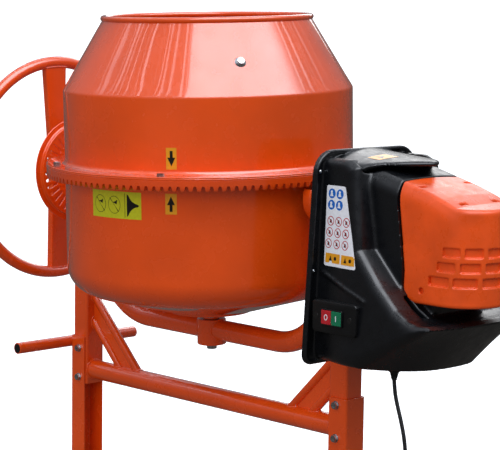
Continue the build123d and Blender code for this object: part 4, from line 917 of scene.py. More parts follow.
    def cone_spot(self, degrees, out_by):
        """A point off the cone's wall at the paddle's fixing, and the wall's outward direction."""
        turn = math.radians(degrees)
        radius = DRUM_R - (PADDLE_BOLT_Z - SHOULDER_Z) / math.tan(CONE_SLOPE)
        out = Vector((math.cos(turn) * math.sin(CONE_SLOPE), math.sin(turn) * math.sin(CONE_SLOPE),
                      math.cos(CONE_SLOPE)))
        return Vector((radius * math.cos(turn), radius * math.sin(turn), PADDLE_BOLT_Z)) + out * out_by, out

    def paddles(self):
        """Bent steel blades with rounded corners, from the cone down to the bowl."""
        thick = 5.0
        shapes = []
        for degrees in PADDLE_ANGLES:
            at = [(DRUM_R - (z - SHOULDER_Z) / math.tan(CONE_SLOPE) - 9.6, z) for z in (290, 234)]
            line = rounded([at[0], at[1], (202.5, 174), (202.5, -157), (146, -204)], [0, 26, 26, 34, 0], closed=False)
            half = PADDLE_WIDTH / 2
            path = [(r, 0, z) for r, z in line]
            section = rounded([(-thick / 2, -half), (thick / 2, -half), (thick / 2, half), (-thick / 2, half)], 1.2)
            blade = swept(path, section, (0, 1, 0))
            shapes.append(moved(blade, Matrix.Rotation(math.radians(degrees), 4, "Z")))
        piece("paddle_blades", shapes, "drum", "orange_enamel", LEANING, ["mixing_paddles"])

    def labels(self):
        """Thin printed labels that follow the drum's wall."""
        shapes, owners = [], []

        def curved(outline, lift, colour):
            """A flat outline of azimuth in degrees and height, wrapped on the wall."""
            outline = np.array(outline, float)
            centre = outline.mean(0)
            rings = []
            for share in (1.0, 0.66, 0.33, 0.0):
                ring = centre + (outline - centre) * share
                turn = np.radians(ring[:, 0])
                radius = DRUM_R + 0.25 + lift
                rings.append(np.stack([radius * np.cos(turn), radius * np.sin(turn), ring[:, 1]], -1))
            shapes.append(skin(rings))
            owners.append(colour)

        def box(a0, a1, z0, z1, lift, colour, steps=14):
            """A rectangle of azimuth and height, with points along its long edges."""
            along = np.linspace(a0, a1, steps)
            turn = np.radians(along)
            radius = DRUM_R + 0.25 + lift
            rows = [np.stack([radius * np.cos(turn), radius * np.sin(turn), 0 * turn + z], -1) for z in (z0, z1)]
            size = len(along)
            faces = [(k, k + 1, k + 1 + size, k + size) for k in range(size - 1)]
            shapes.append((np.concatenate(rows), faces))
            owners.append(colour)

        box(-93.4, -69.3, -35.5, 18, 0.0, 0, 30)
        box(-76.6, -76.4, -33, 15.5, 0.12, 2, 2)
        curved([(-75.6, 14), (-70.2, -8.5), (-75.6, -31)], 0.15, 2)
        for centre in (-88.9, -81.6):
            ring = [(centre + 3.0 * math.cos(t), -9 + 17.5 * math.sin(t)) for t in np.linspace(0, 2 * math.pi, 40)]
            inner = [(centre + 2.82 * math.cos(t), -9 + 16.5 * math.sin(t)) for t in np.linspace(0, 2 * math.pi, 40)]
            curved(ring, 0.12, 2)
            curved(inner, 0.16, 0)
            curved([(centre - 2.3, 4), (centre - 2.0, 5), (centre + 2.3, -22), (centre + 2.0, -23)], 0.2, 2)
            curved([(centre - 0.8, -4), (centre + 1.6, 1), (centre + 1.2, -8)], 0.2, 2)
        for a0, a1, z0, z1, way in ((-59.0, -55.0, 65, 107, -1), (-59.6, -55.2, -22.5, 18, 1)):
            box(a0, a1, z0, z1, 0.0, 1, 6)
            middle, centre = (a0 + a1) / 2, (z0 + z1) / 2
            curved([(middle - 1.5, centre - 2 * way), (middle, centre + 15 * way), (middle + 1.5, centre - 2 * way)],
                   0.12, 2)
            curved([(middle - 0.55, centre - 15 * way), (middle - 0.55, centre - 2 * way),
                    (middle + 0.55, centre - 2 * way), (middle + 0.55, centre - 15 * way)], 0.14, 2)
        piece("drum_labels", shapes, "drum", None, LEANING, finishes=["yellow", "amber", "black"], owner=owners)


class MixerYoke(bpy.types.Operator):
    """Bends the yoke tube and adds its boss, trunnions and welds."""

    bl_idname = "mixer.yoke"
    bl_label = "Yoke"

    def execute(self, context):
        bend = rounded([(-YOKE_X, 0, -8), (-YOKE_X, 0, YOKE_Z), (YOKE_X, 0, YOKE_Z), (YOKE_X, 0, -8)], YOKE_BEND,
                       closed=False, arc=3)
        path = list(bend)
        tube = swept(path, circle(YOKE_R, 48))
        caps = [turned(rounded([(0, -12), (YOKE_R, -12), (YOKE_R, 4), (0, 4)], [0, 0, 6, 0]), 48, "Z",
                       (side * YOKE_X, 0, 0)) for side in (-1, 1)]
        turn = np.linspace(0, 2 * math.pi, 90, endpoint=False)
        welds = []
        for side in (-1, 1):
            y, z = YOKE_R * np.sin(turn), YOKE_Z + YOKE_R * np.cos(turn)
            welds.append(bead(np.stack([side * np.sqrt(BOSS_R ** 2 - y ** 2), y, z], -1)))
            welds.append(bead(np.stack([side * YOKE_X + (YOKE_R + 0.8) * np.cos(turn),
                                        (YOKE_R + 0.8) * np.sin(turn), 0 * turn - 12], -1), 2.0))
        piece("yoke_bent_tube", [tube] + caps + welds, "yoke", "orange_enamel", LEANING, ["yoke_tube"])
        low, high = span("yoke_boss", LEANING)
        outline = rounded([(22, low[2]), (BOSS_R, low[2]), (BOSS_R, high[2]), (22, high[2])], [0, 1.6, 1.6, 0])
        piece("yoke_boss_turned", [turned(outline, 96)], "yoke", "orange_enamel", LEANING, ["yoke_boss"])
        self.guard()
        self.left_stub()
        return {"FINISHED"}

    def guard(self):
        """A half cup round the pinion, with a rolled lip."""
        start, end, radius = 319.0, 340.5, 50.0
        angles = np.radians(np.linspace(156, 384, 60))
        outline = rounded([(start, radius - 3), (start, radius), (end, radius), (end, 12), (end - 3, 12),
                           (end - 3, radius - 3)], [1, 1, 5, 0.5, 0.5, 3])
        rings = [[(x, r * math.cos(a), r * math.sin(a)) for x, r in outline] for a in angles]
        piece("pinion_guard_cup", [skin(rings, caps=True)], "yoke", "orange_enamel", LEANING, ["pinion_guard"],
              bevel=0.6)

    def left_stub(self):
        """The handwheel's shaft with its end plate."""
        low, high = span("left_trunnion", LEANING)
        shoulder = -UPRIGHT_X - UPRIGHT_HALF
        outline = rounded([(0, high[0]), (22, high[0]), (22, shoulder), (14, shoulder), (14, low[0] + 4),
                           (20, low[0] + 4), (20, low[0]), (0, low[0])], [0, 1, 1, 1, 0, 1.2, 1.2, 0])
        piece("left_stub", [turned(outline, 64, "X")], "yoke", "machined_steel", LEANING, ["left_trunnion"])


class MixerFrame(bpy.types.Operator):
    """Builds the uprights, cross tube, legs, handle, foot and their welds and bolts."""

    bl_idname = "mixer.frame"
    bl_label = "Frame"

    def execute(self, context):
        turn = np.linspace(0, 2 * math.pi, 80, endpoint=False)
        for side, name in ((-1, "left"), (1, "right")):
            x, half = side * UPRIGHT_X, UPRIGHT_HALF
            outer = rounded([(x - half, -half), (x + half, -half), (x + half, half), (x - half, half)], 6.0)
            inner = rounded([(x - half + 3, -half + 3), (x + half - 3, -half + 3), (x + half - 3, half - 3),
                             (x - half + 3, half - 3)], 3.0)
            low, high = span(name + "_upright")
            tube = plate([outer, inner], high[2] - low[2], 0.6)
            low_side = np.sort(turn[(np.sin(turn) < 0.05) & (np.abs(np.cos(turn) * BEARING_WELD_R) < half + 1)])
            arc_y, arc_z = BEARING_WELD_R * np.cos(low_side), BEARING_WELD_R * np.sin(low_side)
            welds = [bead(np.stack([x + s * half + 0 * low_side, arc_y, arc_z], -1), 2.2, False)
                for s in (-1, 1)]
            piece(name + "_upright_tube", [moved(tube, Matrix.Translation((0, 0, low[2])))] + welds, "stand",
                  "orange_enamel", replaces=[name + "_upright"], angle=30)
            self.leg(side, name)
        ring = rounded([(26, -half), (32, -half), (32, half), (26, half)], [0.8, 1.5, 1.5, 0.8])
        piece("bearing_rings", [turned(ring, 64, "X", (s * UPRIGHT_X, 0, 0)) for s in (-1, 1)], "stand",
              "orange_enamel", replaces=["bearing_housings"])
        end = UPRIGHT_X - UPRIGHT_HALF
        cross = [turned([(0, -end), (CROSS_R, -end), (CROSS_R, end), (0, end)], 64, "X", (0, 0, CROSS_Z))]
        cross += [bead(np.stack([s * end + 0 * turn, (CROSS_R + 0.6) * np.cos(turn),
                                 CROSS_Z + (CROSS_R + 0.6) * np.sin(turn)], -1)) for s in (-1, 1)]
        piece("cross_tube_round", cross, "stand", "orange_enamel", replaces=["cross_tube"])
        self.braces(end, turn)
        self.bolts()
        self.tubes()
        self.feet()
        return {"FINISHED"}

    def leg(self, side, name):
        """A folded channel with round bends, open towards the drum."""
        low, high = span(name + "_leg")
        web, tip = (low[0], high[0]) if side < 0 else (high[0], low[0])
        out, inn = LEG_HALF, LEG_HALF - LEG_WALL
        section = rounded([(tip, -out), (web, -out), (web, out), (tip, out), (tip, inn), (web - side * LEG_WALL, inn),
                           (web - side * LEG_WALL, -inn), (tip, -inn)], [1, 5.5, 5.5, 1, 1, 2, 2, 1])
        piece(name + "_leg_channel", [prism(section, "Z", low[2], high[2])], "stand", "orange_enamel",
              replaces=[name + "_leg"], bevel=0.7)

    def braces(self, end, turn):
        """Weld beads where the pressed braces meet the upright and the cross tube."""
        node = frame["nodes"]["corner_braces"]
        welds = []
        for line in BRACE_LINES:
            side = 1 if line > 0 else -1
            for rib in (-1, 1):
                offset = abs(line) + rib * BRACE_RIB_OFFSET * math.sqrt(2)
                y = (BRACE_RIB_R + 0.8) * np.sin(turn)
                across = (BRACE_RIB_R + 0.8) * math.sqrt(2) * np.cos(turn)
                welds.append(bead(np.stack([side * end + 0 * turn, y, end - offset + across], -1), 2.0))
                height = CROSS_Z + np.sqrt(CROSS_R ** 2 - y ** 2)
                welds.append(bead(np.stack([side * (offset - across + height), y, height], -1), 2.0))
        piece("brace_welds", welds, "stand", "orange_enamel")
        soften(node, 0.8)

    def bolts(self):
        shapes = []
        for x in (-UPRIGHT_X, UPRIGHT_X):
            for z in LEG_BOLT_Z:
                for way in (-1, 1):
                    shapes += screw_head((x, way * LEG_HALF, z), (0, way, 0))
                shapes.append(turned(rounded([(0, 0), (3.9, 0), (3.9, 9.5), (0, 9.5)], [0, 0, 1, 0]), 24, "Y",
                                     (x, LEG_HALF + 0.5, z)))
        piece("leg_bolt_heads", shapes, "stand", "zinc_plated_steel", replaces=["leg_bolts"])

    def tubes(self):
        """Round bars with clean ends: handle, foot bar and axle tube."""
        for node, slot, wall in (("handle_bar", "orange_enamel", 2.5), ("foot_bar", "orange_enamel", 3.0),
                                 ("axle_tube", "orange_enamel", 4.0)):
            low, high = span(node)
            radius = (high[0] - low[0]) / 2
            x, z = (low[0] + high[0]) / 2, (low[2] + high[2]) / 2
            outline = rounded([(radius - wall, low[1]), (radius, low[1]), (radius, high[1]), (radius - wall, high[1])],
                              0.8)
            piece(node + "_turned", [turned(outline, 56, "Y", (x, 0, z))], "stand", slot, replaces=[node])
        low, high = span("handle_bar")
        caps = [turned(rounded([(0, way * 170), (11.8, way * 170), (12.3, way * 166), (0, way * 166)],
                               [0, 2, 0.5, 0]), 40, "Y", ((low[0] + high[0]) / 2, 0, (low[2] + high[2]) / 2))
                for way in (-1, 1)]
        piece("handle_caps", caps, "stand", "black_plastic")

    def feet(self):
        """Moulded end caps with a flat ribbed sole."""
        low, high = span("foot_pads")
        x, half = (low[0] + high[0]) / 2, (high[0] - low[0]) / 2
        length = 56.0
        shapes = []
        for way in (-1, 1):
            y0, y1 = sorted((way * high[1], way * (high[1] - length)))
            arch = rounded([(GROUND + 2.5, x - half), (GROUND + 2.5, x + half), (high[2], x + half - 1),
                            (high[2], x - half + 1)], [3, 3, half * 0.9, half * 0.9])
            shapes.append(prism(arch, "Y", y0, y1))
            for k in range(4):
                at = y0 + 8 + 13 * k
                shapes.append(cuboid((x - half + 3, x + half - 3), (at - 3, at + 3), (GROUND, GROUND + 3)))
        piece("foot_caps", shapes, "stand", "foot_rubber", replaces=["foot_pads"], bevel=2.0)


def soften(node, width):
    """Rounds a frame part's edges without changing its mesh."""
    weld = node.modifiers.new("joined", "WELD")
    weld.merge_threshold = 0.02 * MM
    edge = node.modifiers.new("edges", "BEVEL")
    edge.width, edge.segments, edge.limit_method, edge.angle_limit = width * MM, 2, "ANGLE", math.radians(50)
    edge.harden_normals = True


class MixerHandwheel(bpy.types.Operator):
    """Builds the locking disc, the ring, its spoke and the lock spring."""

    bl_idname = "mixer.handwheel"
    bl_label = "Handwheel"

    def execute(self, context):
        self.disc()
        ring = turned(circle(RING_TUBE, 28) + (RING_R, 0), 220, "X", (RING_X, 0, 0))
        piece("handwheel_rolled_ring", [ring], "handwheel", "orange_enamel", LEANING, ["handwheel_ring"])
        self.spoke()
        self.spring()
        return {"FINISHED"}

    def disc(self):
        """A pressed pan with thirty-six slots and a flanged rim."""
        inner, thick, depth = DISC_R - 12.0, 3.0, 12.0
        slots = []
        for k in range(36):
            turn = math.radians(10 * k) + LEAN
            slot = rounded([(68, -3.5), (98, -3.5), (98, 3.5), (68, 3.5)], 3.45, arc=20)
            slots.append(slot @ np.array([[math.cos(turn), math.sin(turn)], [-math.sin(turn), math.cos(turn)]]))
        face = plate([circle(inner - 1.5, 144), circle(24, 64)] + slots, thick, 0.5)
        face = moved(face, Matrix(((0, 0, 1, 0), (1, 0, 0, 0), (0, 1, 0, 0), (0, 0, 0, 1))))
        face = (face[0] + (DISC_X - thick, 0, 0), face[1])
        back = DISC_X - depth
        rim = rounded([(inner - 4, DISC_X - 0.2), (inner, DISC_X), (inner, back + thick), (DISC_R, back + thick),
                       (DISC_R, back), (inner - thick, back), (inner - thick, DISC_X - thick),
                       (inner - 4, DISC_X - thick)], [0, 3, 3, 1, 1, 5, 2, 0])
        collar = rounded([(23, -UPRIGHT_X - UPRIGHT_HALF), (32, -UPRIGHT_X - UPRIGHT_HALF), (32, DISC_X),
                          (23, DISC_X)], [0, 1, 1, 0])
        piece("locking_disc_pan", [face, turned(rim, 180, "X"), turned(collar, 64, "X")], "stand", "orange_enamel",
              replaces=["locking_disc"], angle=34)

    def spoke(self):
        """A folded channel, wider at the ring, with its sliding hub, lock pin and welds."""
        front, depth, thick = RING_X + 8.0, 16.0, 3.0
        heights = np.linspace(-RING_R + 7, RING_R - 7, 41)
        rings = []
        for z in heights:
            half = 18 + 12 * abs(z) / RING_R
            loop = rounded([(-half, -depth), (-half + thick, -depth), (-half + thick, -thick), (half - thick, -thick),
                            (half - thick, -depth), (half, -depth), (half, 0), (-half, 0)],
                           [0.8, 0.8, 1.5, 1.5, 0.8, 0.8, 4, 4])
            rings.append([(front + x, y, z) for y, x in loop])
        shapes = [skin(rings, caps=True)]
        hub = rounded([(14.2, RING_X - 12), (23, RING_X - 12), (23, DISC_X - 28), (14.2, DISC_X - 28)],
                      [0.5, 2, 2, 0.5])
        shapes.append(turned(hub, 64, "X"))
        shapes.append(turned(rounded([(0, front - thick), (3.1, front - thick), (3.1, DISC_X - 4.5), (0, DISC_X - 4.5)],
                                     [0, 0, 1.2, 0]), 24, "X", (0, 0, 83)))
        turn = np.linspace(0, 2 * math.pi, 60, endpoint=False)
        shapes.append(bead(np.stack([front + 0 * turn, 23.6 * np.cos(turn), 23.6 * np.sin(turn)], -1), 2.2))
        for way in (-1, 1):
            y = np.linspace(-28, 28, 30)
            edge = np.sqrt((RING_R - RING_TUBE * 0.75) ** 2 - y ** 2)
            shapes.append(bead(np.stack([front + 0 * y, y, way * edge], -1), 2.4, False))
        piece("handwheel_channel", shapes, "handwheel", "orange_enamel", LEANING, ["handwheel_spoke"])

    def spring(self):
        """A short coil of spring wire between the hub and the end plate."""
        turn = np.linspace(0, 2 * math.pi * 2.6, 120)
        path = np.stack([RING_X - 13.5 - 7.0 * turn / turn[-1], 17.0 * np.cos(turn), 17.0 * np.sin(turn)], -1)
        piece("lock_spring_wire", [swept(path, circle(1.2, 12), (1, 0, 0))], "handwheel", "zinc_plated_steel",
              LEANING, ["lock_spring"])


class MixerWheels(bpy.types.Operator):
    """Builds the treaded tyres and rounds the edges of the wheel centres."""

    bl_idname = "mixer.wheels"
    bl_label = "Wheels"

    def execute(self, context):
        for name, side in (("front", -1), ("back", 1)):
            half, rim = 24.0, 62.0
            outline = rounded([(rim, -half + 3), (rim + 4, -half + 1), (WHEEL_R - 14, -half), (WHEEL_R - 2, -half + 9),
                               (WHEEL_R, -6), (WHEEL_R, 6), (WHEEL_R - 2, half - 9), (WHEEL_R - 14, half),
                               (rim + 4, half - 1), (rim, half - 3)], [1, 3, 12, 6, 0, 0, 6, 12, 3, 1], arc=10)
            dense = []
            for a, b in zip(outline, np.roll(outline, -1, 0)):
                count = max(1, int(np.linalg.norm(b - a) / 1.6))
                dense += [a + (b - a) * k / count for k in range(count)]

            def tread(radius, height, angle):
                crown = ramp(radius, WHEEL_R - 9, WHEEL_R - 4)
                slant = np.abs(height) * 0.018
                cut = ramp(np.cos(36 * (angle + slant)), 0.35, 0.75) * ramp(np.abs(height), 3.5, 5.5)
                middle = 1 - ramp(np.abs(height), 1.2, 2.6)
                return radius - 3.2 * crown * np.maximum(cut, middle), height

            shape = turned(dense, 432, "Y", (AXLE_X, side * WHEEL_Y, AXLE_Z), ripple=tread)
            piece(name + "_tyre_tread", [shape], name + "_wheel", "tyre_rubber", replaces=[name + "_tyre"], angle=40)
            soften(frame["nodes"][name + "_wheel_centre"], 0.8)
        return {"FINISHED"}


def back_panel(inset):
    """The outline of the housing's back plate, drawn in by an inset."""
    corners = [(y - math.copysign(inset, y), z + (inset if z < 0 else -inset)) for y, z in BACK_OUTLINE]
    return rounded(corners, [max(r - inset, 2) for r in BACK_CORNERS], arc=15)


HOUSING_SIDE = [(437.5, 92), (505, 91), (530, 78), (556, -72), (582, -100), (612, -132), (656, -170), (684, -186),
                (706, -191), (729, -191), (745, -196), (665, -288), (437.5, -288)]
SEAM_Z = [-160, -104, 22, 50]
SEAM_AT = [614, 616, 599, 600]
EDGE_X = [437, 547, 617, 651, 690, 725, 777]
EDGE_Z = [86, 72, 53, 44, 31, 17, 12]
LIP_POINTS = [tuple(p) for p in back_panel(0)]
LIP_INNER = [tuple(p) for p in back_panel(8)]


def tunnel_form(x, y, z):
    """The crowned body that runs from the housing to the cap's nose, with a chamfer along its top edges."""
    edge = np.interp(x, EDGE_X, EDGE_Z)
    crown = 4.0
    sides = np.abs(y) - TUNNEL_HALF
    top = (z - edge - crown * (1 - np.minimum(np.abs(y) / 86, 1.3) ** 2)) * 0.93
    chamfer = (np.abs(y) - TUNNEL_HALF + 0.55 * (z - edge + 23)) / 1.14
    return smooth_max(smooth_max(sides, top, 8), chamfer, 5)


def visor_form(x, y, z):
    """The hood over the top, with a round nose in plan."""
    top = 104 - (x - 437) * 14 / 176 - (y / 104) ** 2 * 19
    nose = (np.maximum(x - 500, 0) / 113) ** 1.4 + (np.abs(y) / 106) ** 1.4
    plan = (nose ** (1 / 1.4) - 1) * 78
    under = np.interp(x, [437, 470, 494, 524, 549, 600, 620], [-60, 0, 40, 72, 80, 80, 79]) + (y / 104) ** 2 * 2
    return smooth_max(smooth_max(z - top, plan, 12), (under - z) * 0.8, 8)


def housing_form(x, y, z):
    """The black shell's outer form."""
    height = (92 - z) / 380
    half = 120 + height * (20 + 17 * ramp(x, 443, 538))
    below = np.clip((-190 - z) / 98, 0, 1)
    pull = 22 + 105 * below
    pulled = x + pull * (np.minimum(np.abs(y), 170) / 157) ** 3
    side = np.minimum(np.abs(y), 170) / 157
    slope, rise = 3 * pull / 157 * side ** 2, 1.07 * side ** 3
    front = outline_distance(pulled, z, HOUSING_SIDE) / np.sqrt(1 + slope ** 2 + rise ** 2)
    body = smooth_max(front, (np.abs(y) - half) * 0.97, 14)
    # a raised crease on each flank, rising away from the nose
    crease = outline_distance(x, z, [(452, -120), (452, -122), (571, -164), (571, -163)])
    body = body - 2.6 * np.exp(-(np.maximum(crease, 0) / 3.2) ** 2) * ramp(np.abs(y), 110, 125)
    seam = np.interp(z, SEAM_Z, SEAM_AT)
    tunnel = smooth_max(smooth_max(tunnel_form(x, y, z), x - seam + 0.6, 2), -176 - z, 3)
    core_block = np.maximum(np.maximum(np.abs(y) - TUNNEL_HALF + 18, x - 676), np.maximum(z + 90, -178 - z))
    body = smooth_min(body, np.minimum(tunnel, core_block), 7)
    moat = np.maximum(np.maximum(np.abs(y) - TUNNEL_HALF - 9, TUNNEL_HALF - 3 - np.abs(y)),
                      np.maximum(x - 700, -186 - z))
    moat = np.maximum(moat, SEAM_X - 16 - x)
    body = smooth_max(body, -np.maximum(moat, z + 150), 3)
    visor = visor_form(x, y, z)
    groove = np.maximum(visor - 5, -(body + 12))
    shell = smooth_min(smooth_max(body, -groove, 3), visor, 2)
    rim = smooth_max(outline_distance(y, z, LIP_POINTS), x - BACK_X - 12, 6)
    recess = smooth_max(outline_distance(y, z, LIP_INNER), BACK_X + 8 - x, 3)
    return smooth_min(shell, smooth_max(rim, -recess, 3), 4)


def cap_outer(x, y, z):
    """The cap's outer form: the tunnel's section with a round nose and rounded lower corners."""
    over_x, over_y = x - (CAP_NOSE_X - CAP_CORNER), np.abs(y) - (TUNNEL_HALF - CAP_CORNER)
    plan = (np.hypot(np.maximum(over_x, 0), np.maximum(over_y, 0)) + np.minimum(np.maximum(over_x, over_y), 0)
            - CAP_CORNER)
    seam = np.interp(z, SEAM_Z, SEAM_AT)
    low = smooth_max(CAP_BOTTOM - z, seam - x, 34) - 1.0
    low = np.where(z < -60, low, seam - x)
    form = smooth_max(tunnel_form(x, y, z), plan, 10)
    waist = 2.2 * ramp(z, -150, -60) * (1 - ramp(z, 0, 30))
    return smooth_max(form + waist * 0.4, low, 7)


def cap_form(x, y, z):
    """The cap with its walls, three curved rows of louvres, top slits and screw pockets."""
    outer = cap_outer(x, y, z)
    body = np.maximum(outer, -np.maximum(outer + 10, SEAM_X + 3 - x))
    bend_x = CAP_NOSE_X - CAP_CORNER
    round_the_bend = CAP_CORNER * np.arctan2(x - bend_x, np.maximum(np.abs(y) - TUNNEL_HALF + CAP_CORNER, 0.01))
    along = np.where(x < bend_x, x - bend_x, round_the_bend)
    half_way = CAP_CORNER * math.pi / 2 + TUNNEL_HALF - CAP_CORNER
    along = np.where(np.abs(y) < TUNNEL_HALF - CAP_CORNER, half_way - np.abs(y), along)
    pocket = np.full(x.shape, 1e3)
    for level, first in ((-62, 13), (-89, 0), (-116, -18)):
        pitch = (half_way + 4.5 - first) / 3
        beside = np.abs((along - first) % pitch - (pitch - 9) / 2) - (pitch - 9) / 2
        beside = np.where(along > first - 8, beside, 1e3)
        pocket = np.minimum(pocket, smooth_max(beside, np.abs(z - level) - 8.5, 4))
    pocket = smooth_max(pocket, -(outer + 5.0), 1.5)
    for at_x, at_y in ((636, -64), (636, 64), (716, -46), (716, 46)):
        slit = np.maximum(np.abs(x - at_x) - 3.2, np.abs(y - at_y) - 10)
        pocket = np.minimum(pocket, np.maximum(slit, -(outer + 5)))
    hole = np.hypot(x - 658, z + 137) - 5.5
    pocket = np.minimum(pocket, np.maximum(hole, -(outer + 7)))
    return smooth_max(body, -pocket, 1.6)


def stood_up(y):
    """The turn that stands a flat plate up at a depth, facing the front."""
    return Matrix(((1, 0, 0, 0), (0, 0, -1, y), (0, 1, 0, 0), (0, 0, 0, 1)))


class MixerHousing(bpy.types.Operator):
    """Moulds the motor housing, its cap, the switch and the labels."""

    bl_idname = "mixer.housing"
    bl_label = "Housing"

    def execute(self, context):
        step = context.scene.mixer_sizes.moulding_step / MM * 1.0
        outline = [tuple(p) for p in back_panel(0.6)]
        piece("housing_back_plate", [prism(outline, "X", BACK_X, BACK_X + 5)], "stand", "black_plastic",
              replaces=["housing_back"], bevel=1.8)

        def black(x, y, z):
            button_well = np.maximum(np.maximum(np.abs(x - 504) - 30, np.abs(z + 199.5) - 20), y + 118)
            outer = np.maximum(housing_form(x, y, z), -button_well)
            inner = np.maximum(outer + 10, BACK_X + 9 - x)
            return np.maximum(np.maximum(outer, -inner), BACK_X + 5.05 - x)

        shell = moulding(black, (BACK_X, -171, -302), (752, 171, 110), step)
        shell_piece = piece("housing_shell", [shell], "stand", "black_plastic", replaces=["housing_front"], angle=60)
        cap = moulding(cap_form, (SEAM_X - 4, -96, CAP_BOTTOM - 6), (CAP_NOSE_X + 3, 96, 84), step * 0.62)
        piece("motor_cap_moulding", [cap], "stand", "orange_plastic", replaces=["motor_cap"], angle=60)
        tree = BVHTree.FromObject(shell_piece, context.evaluated_depsgraph_get())
        self.labels(tree)
        self.switch()
        self.screws()
        return {"FINISHED"}

    def labels(self, tree):
        """Printed labels that lie on the housing's flank and top, with generic symbols."""
        shapes, owners = [], []

        def laid(outline, lift, colour, way=(0, 1, 0), start=-260.0):
            """An outline dropped on the shell along a direction."""
            outline = np.array(outline, float)
            centre = outline.mean(0)
            rings = []
            for share in (1.0, 0.75, 0.5, 0.25, 0.0):
                ring = []
                for u, v in centre + (outline - centre) * share:
                    source = Vector((u, start, v)) if way[1] else Vector((u, v, 260.0))
                    hit = tree.ray_cast(STAND @ source, Vector(way))[0]
                    if hit is None:
                        raise RuntimeError("a label misses the housing")
                    spot = STAND.inverted() @ (hit - Vector(way) * (0.45 + lift) * MM)
                    ring.append(spot[:])
                rings.append(ring)
            shapes.append(skin(rings))
            owners.append(colour)

        def divided(corners, count=7):
            """An outline with points added along its sides."""
            corners = np.array(corners, float)
            return np.concatenate([a + (b - a) * np.linspace(0, 1, count, endpoint=False)[:, None]
                                   for a, b in zip(corners, np.roll(corners, -1, 0))])

        def disc(x, z, radius):
            """A round outline."""
            turn = np.linspace(0, 2 * math.pi, 28, endpoint=False)
            return np.stack([x + radius * np.cos(turn), z + radius * np.sin(turn)], -1)

        laid(divided(rounded([(453, 42), (501, 42), (544, -108), (456, -108)], 4, arc=30), 3), 0.0, 0)
        for x in (467, 488):
            for z in (27, 6):
                laid(disc(x, z, 9.2), 0.12, 1)
                laid(disc(x - 1, z + 3.2, 2.6), 0.2, 0)
                laid([(x - 4.5, z - 5), (x + 4, z - 5), (x + 1, z + 1), (x - 3, z + 1)], 0.2, 0)
        for row, z in enumerate((-24, -45, -66)):
            for column in range(3):
                x = 468 - 1.5 * row + (21 + row) * column
                laid(disc(x, z, 9.0), 0.12, 2)
                laid(disc(x, z, 7.4), 0.18, 0)
                laid([(x - 3, z - 3.5), (x + 3.4, z - 3.5), (x + 2, z + 2.5), (x - 1.5, z + 3.5)], 0.24, 4)
                laid([(x - 5.6, z + 4.6), (x - 4.6, z + 5.6), (x + 5.6, z - 4.6), (x + 4.6, z - 5.6)], 0.3, 2)
        for left, right in ((459, 499), (503, 538)):
            laid(divided([(left, -84), (right, -84), (right + 1, -102), (left, -102)], 4), 0.12, 3)
            middle = (left + right) / 2
            laid([(middle - 10, -98), (middle - 2, -98), (middle - 6, -88)], 0.2, 4)
            laid(disc(middle + 7, -93, 3.6), 0.2, 4)
        top_label = [(497, -62), (528, -62), (540, -22), (505, -22)]
        laid(divided(top_label, 6), 0.0, 3, (0, 0, -1))
        laid([(508, -50), (524, -50), (516, -36)], 0.12, 4, (0, 0, -1))
        piece("housing_labels", shapes, "stand", None, finishes=["white", "blue", "red", "amber", "black"],
              owner=owners)

    def switch(self):
        """The face plate with its bezel, clear flap and two marked buttons."""
        front = SWITCH_Y
        outline = rounded([(452, -230), (562, -230), (562, -170), (452, -170)], 7)
        slab = plate([outline], 19, 2.2)
        slab = moved(slab, stood_up(front + 19))
        bezel_out = rounded([(477, -215), (531, -215), (531, -184), (477, -184)], 3)
        bezel_in = rounded([(479.2, -212.8), (528.8, -212.8), (528.8, -186.2), (479.2, -186.2)], 1.5)
        bezel = plate([bezel_out, bezel_in], 4.2, 0.8)
        bezel = moved(bezel, stood_up(front + 0.2))
        piece("switch_plate", [slab, bezel], "stand", "switch_plastic", replaces=["switch_box"], angle=30)
        cover = plate([rounded([(479.6, -212.4), (528.4, -212.4), (528.4, -186.6), (479.6, -186.6)], 3)], 0.9, 0.3)
        cover = moved(cover, stood_up(front - 3.9))
        piece("switch_cover", [cover], "stand", None, finishes=["clear"])
        # Flat discs of black ink, a hair proud of the face, stand in for the two screw recesses: painted shade, not
        # holes.
        holes = []
        for x in (461.5, 546):
            ring = rounded([(0, front - 0.15), (5.4, front - 0.15), (6.2, front + 0.6), (0, front + 0.6)], 0)
            holes.append(turned(ring, 32, "Y", (x, 0, -200)))
        piece("switch_screw_recess_painted_shade", holes, "stand", None, finishes=["black"])
        for name, slot in (("stop", "stop_red"), ("start", "start_green")):
            low, high = span(name + "_button")
            face = plate([rounded([(low[0], low[2]), (high[0], low[2]), (high[0], high[2]), (low[0], high[2])], 1.2)],
                         high[1] - low[1], 1.2)
            face = moved(face, stood_up(high[1]))
            middle, centre = (low[0] + high[0]) / 2, (low[2] + high[2]) / 2
            if name == "stop":
                symbol = plate([circle(5.2, 40) * (0.85, 1.1) + (middle, centre), circle(3.6, 40) * (0.8, 1.1)
                                + (middle, centre)], 0.3, 0.1)
            else:
                symbol = plate([rounded([(middle - 0.9, centre - 5.5), (middle + 0.9, centre - 5.5),
                                         (middle + 0.9, centre + 5.5), (middle - 0.9, centre + 5.5)], 0.4)], 0.3, 0.1)
            symbol = moved(symbol, stood_up(low[1] + 0.15))
            piece(name + "_button_cap", [face, symbol], name, slot, replaces=[name + "_button"],
                  finishes=[slot, "white"], owner=[0, 1])

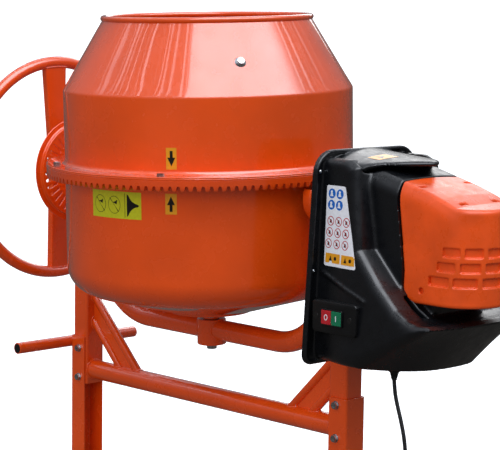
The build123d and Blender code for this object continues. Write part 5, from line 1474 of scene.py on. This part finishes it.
    def screws(self):
        """Pan-head screws round the flange, with cross recesses shown as dimples."""
        low, high = span("housing_screws")
        shapes = []
        for y, z in ((-130, 66), (130, 66), (-144, -120), (144, -120)):
            head = rounded([(0, low[0] - 1), (3.2, low[0] - 1), (3.2, high[0] - 0.8), (2.2, high[0]), (0.9, high[0]),
                            (0.5, high[0] - 0.9), (0, high[0] - 0.9)], [0, 0, 0.5, 0.4, 0, 0, 0])
            shapes.append(turned(head, 28, "X", (0, y, z)))
        piece("flange_screws", shapes, "stand", "zinc_plated_steel", replaces=["housing_screws"])


class MixerFinishes(bpy.types.Operator):
    """Makes the finishes and gives them to the frame's own parts."""

    bl_idname = "mixer.finishes"
    bl_label = "Finishes"

    def execute(self, context):
        FINISH.update(make_finishes())
        for node in frame["nodes"].values():
            for holder in node.material_slots:
                slot = holder.material.name.split(".")[0]
                if slot not in FINISH:
                    raise RuntimeError(f"no finish for {slot}")
                holder.material = FINISH[slot]
        return {"FINISHED"}


class MixerPanel(bpy.types.Panel):
    """Lists the mixer's pieces and their sizes."""

    bl_idname = "VIEW3D_PT_mixer"
    bl_label = "Concrete mixer"
    bl_space_type = "VIEW_3D"
    bl_region_type = "UI"
    bl_category = "Mixer"

    def draw(self, context):
        for group in (context.scene.mixer_sizes, context.scene.mixer_colours):
            for key in group.__annotations__:
                self.layout.prop(group, key)
        for operator in OPERATORS:
            self.layout.operator(operator.bl_idname)


OPERATORS = (MixerFinishes, MixerStage, MixerCord, MixerDrum, MixerYoke, MixerFrame, MixerHandwheel, MixerWheels,
             MixerHousing)
CLASSES = (MixerSizes, MixerColours, MixerPanel) + OPERATORS


def register():
    for item in CLASSES:
        bpy.utils.register_class(item)
    bpy.types.Scene.mixer_sizes = bpy.props.PointerProperty(type=MixerSizes)
    bpy.types.Scene.mixer_colours = bpy.props.PointerProperty(type=MixerColours)


def unregister():
    del bpy.types.Scene.mixer_colours
    del bpy.types.Scene.mixer_sizes
    for item in reversed(CLASSES):
        bpy.utils.unregister_class(item)


def main():
    register()
    for operator in OPERATORS:
        group, name = operator.bl_idname.split(".")
        getattr(getattr(bpy.ops, group), name)()


if __name__ == "__main__":
    main()
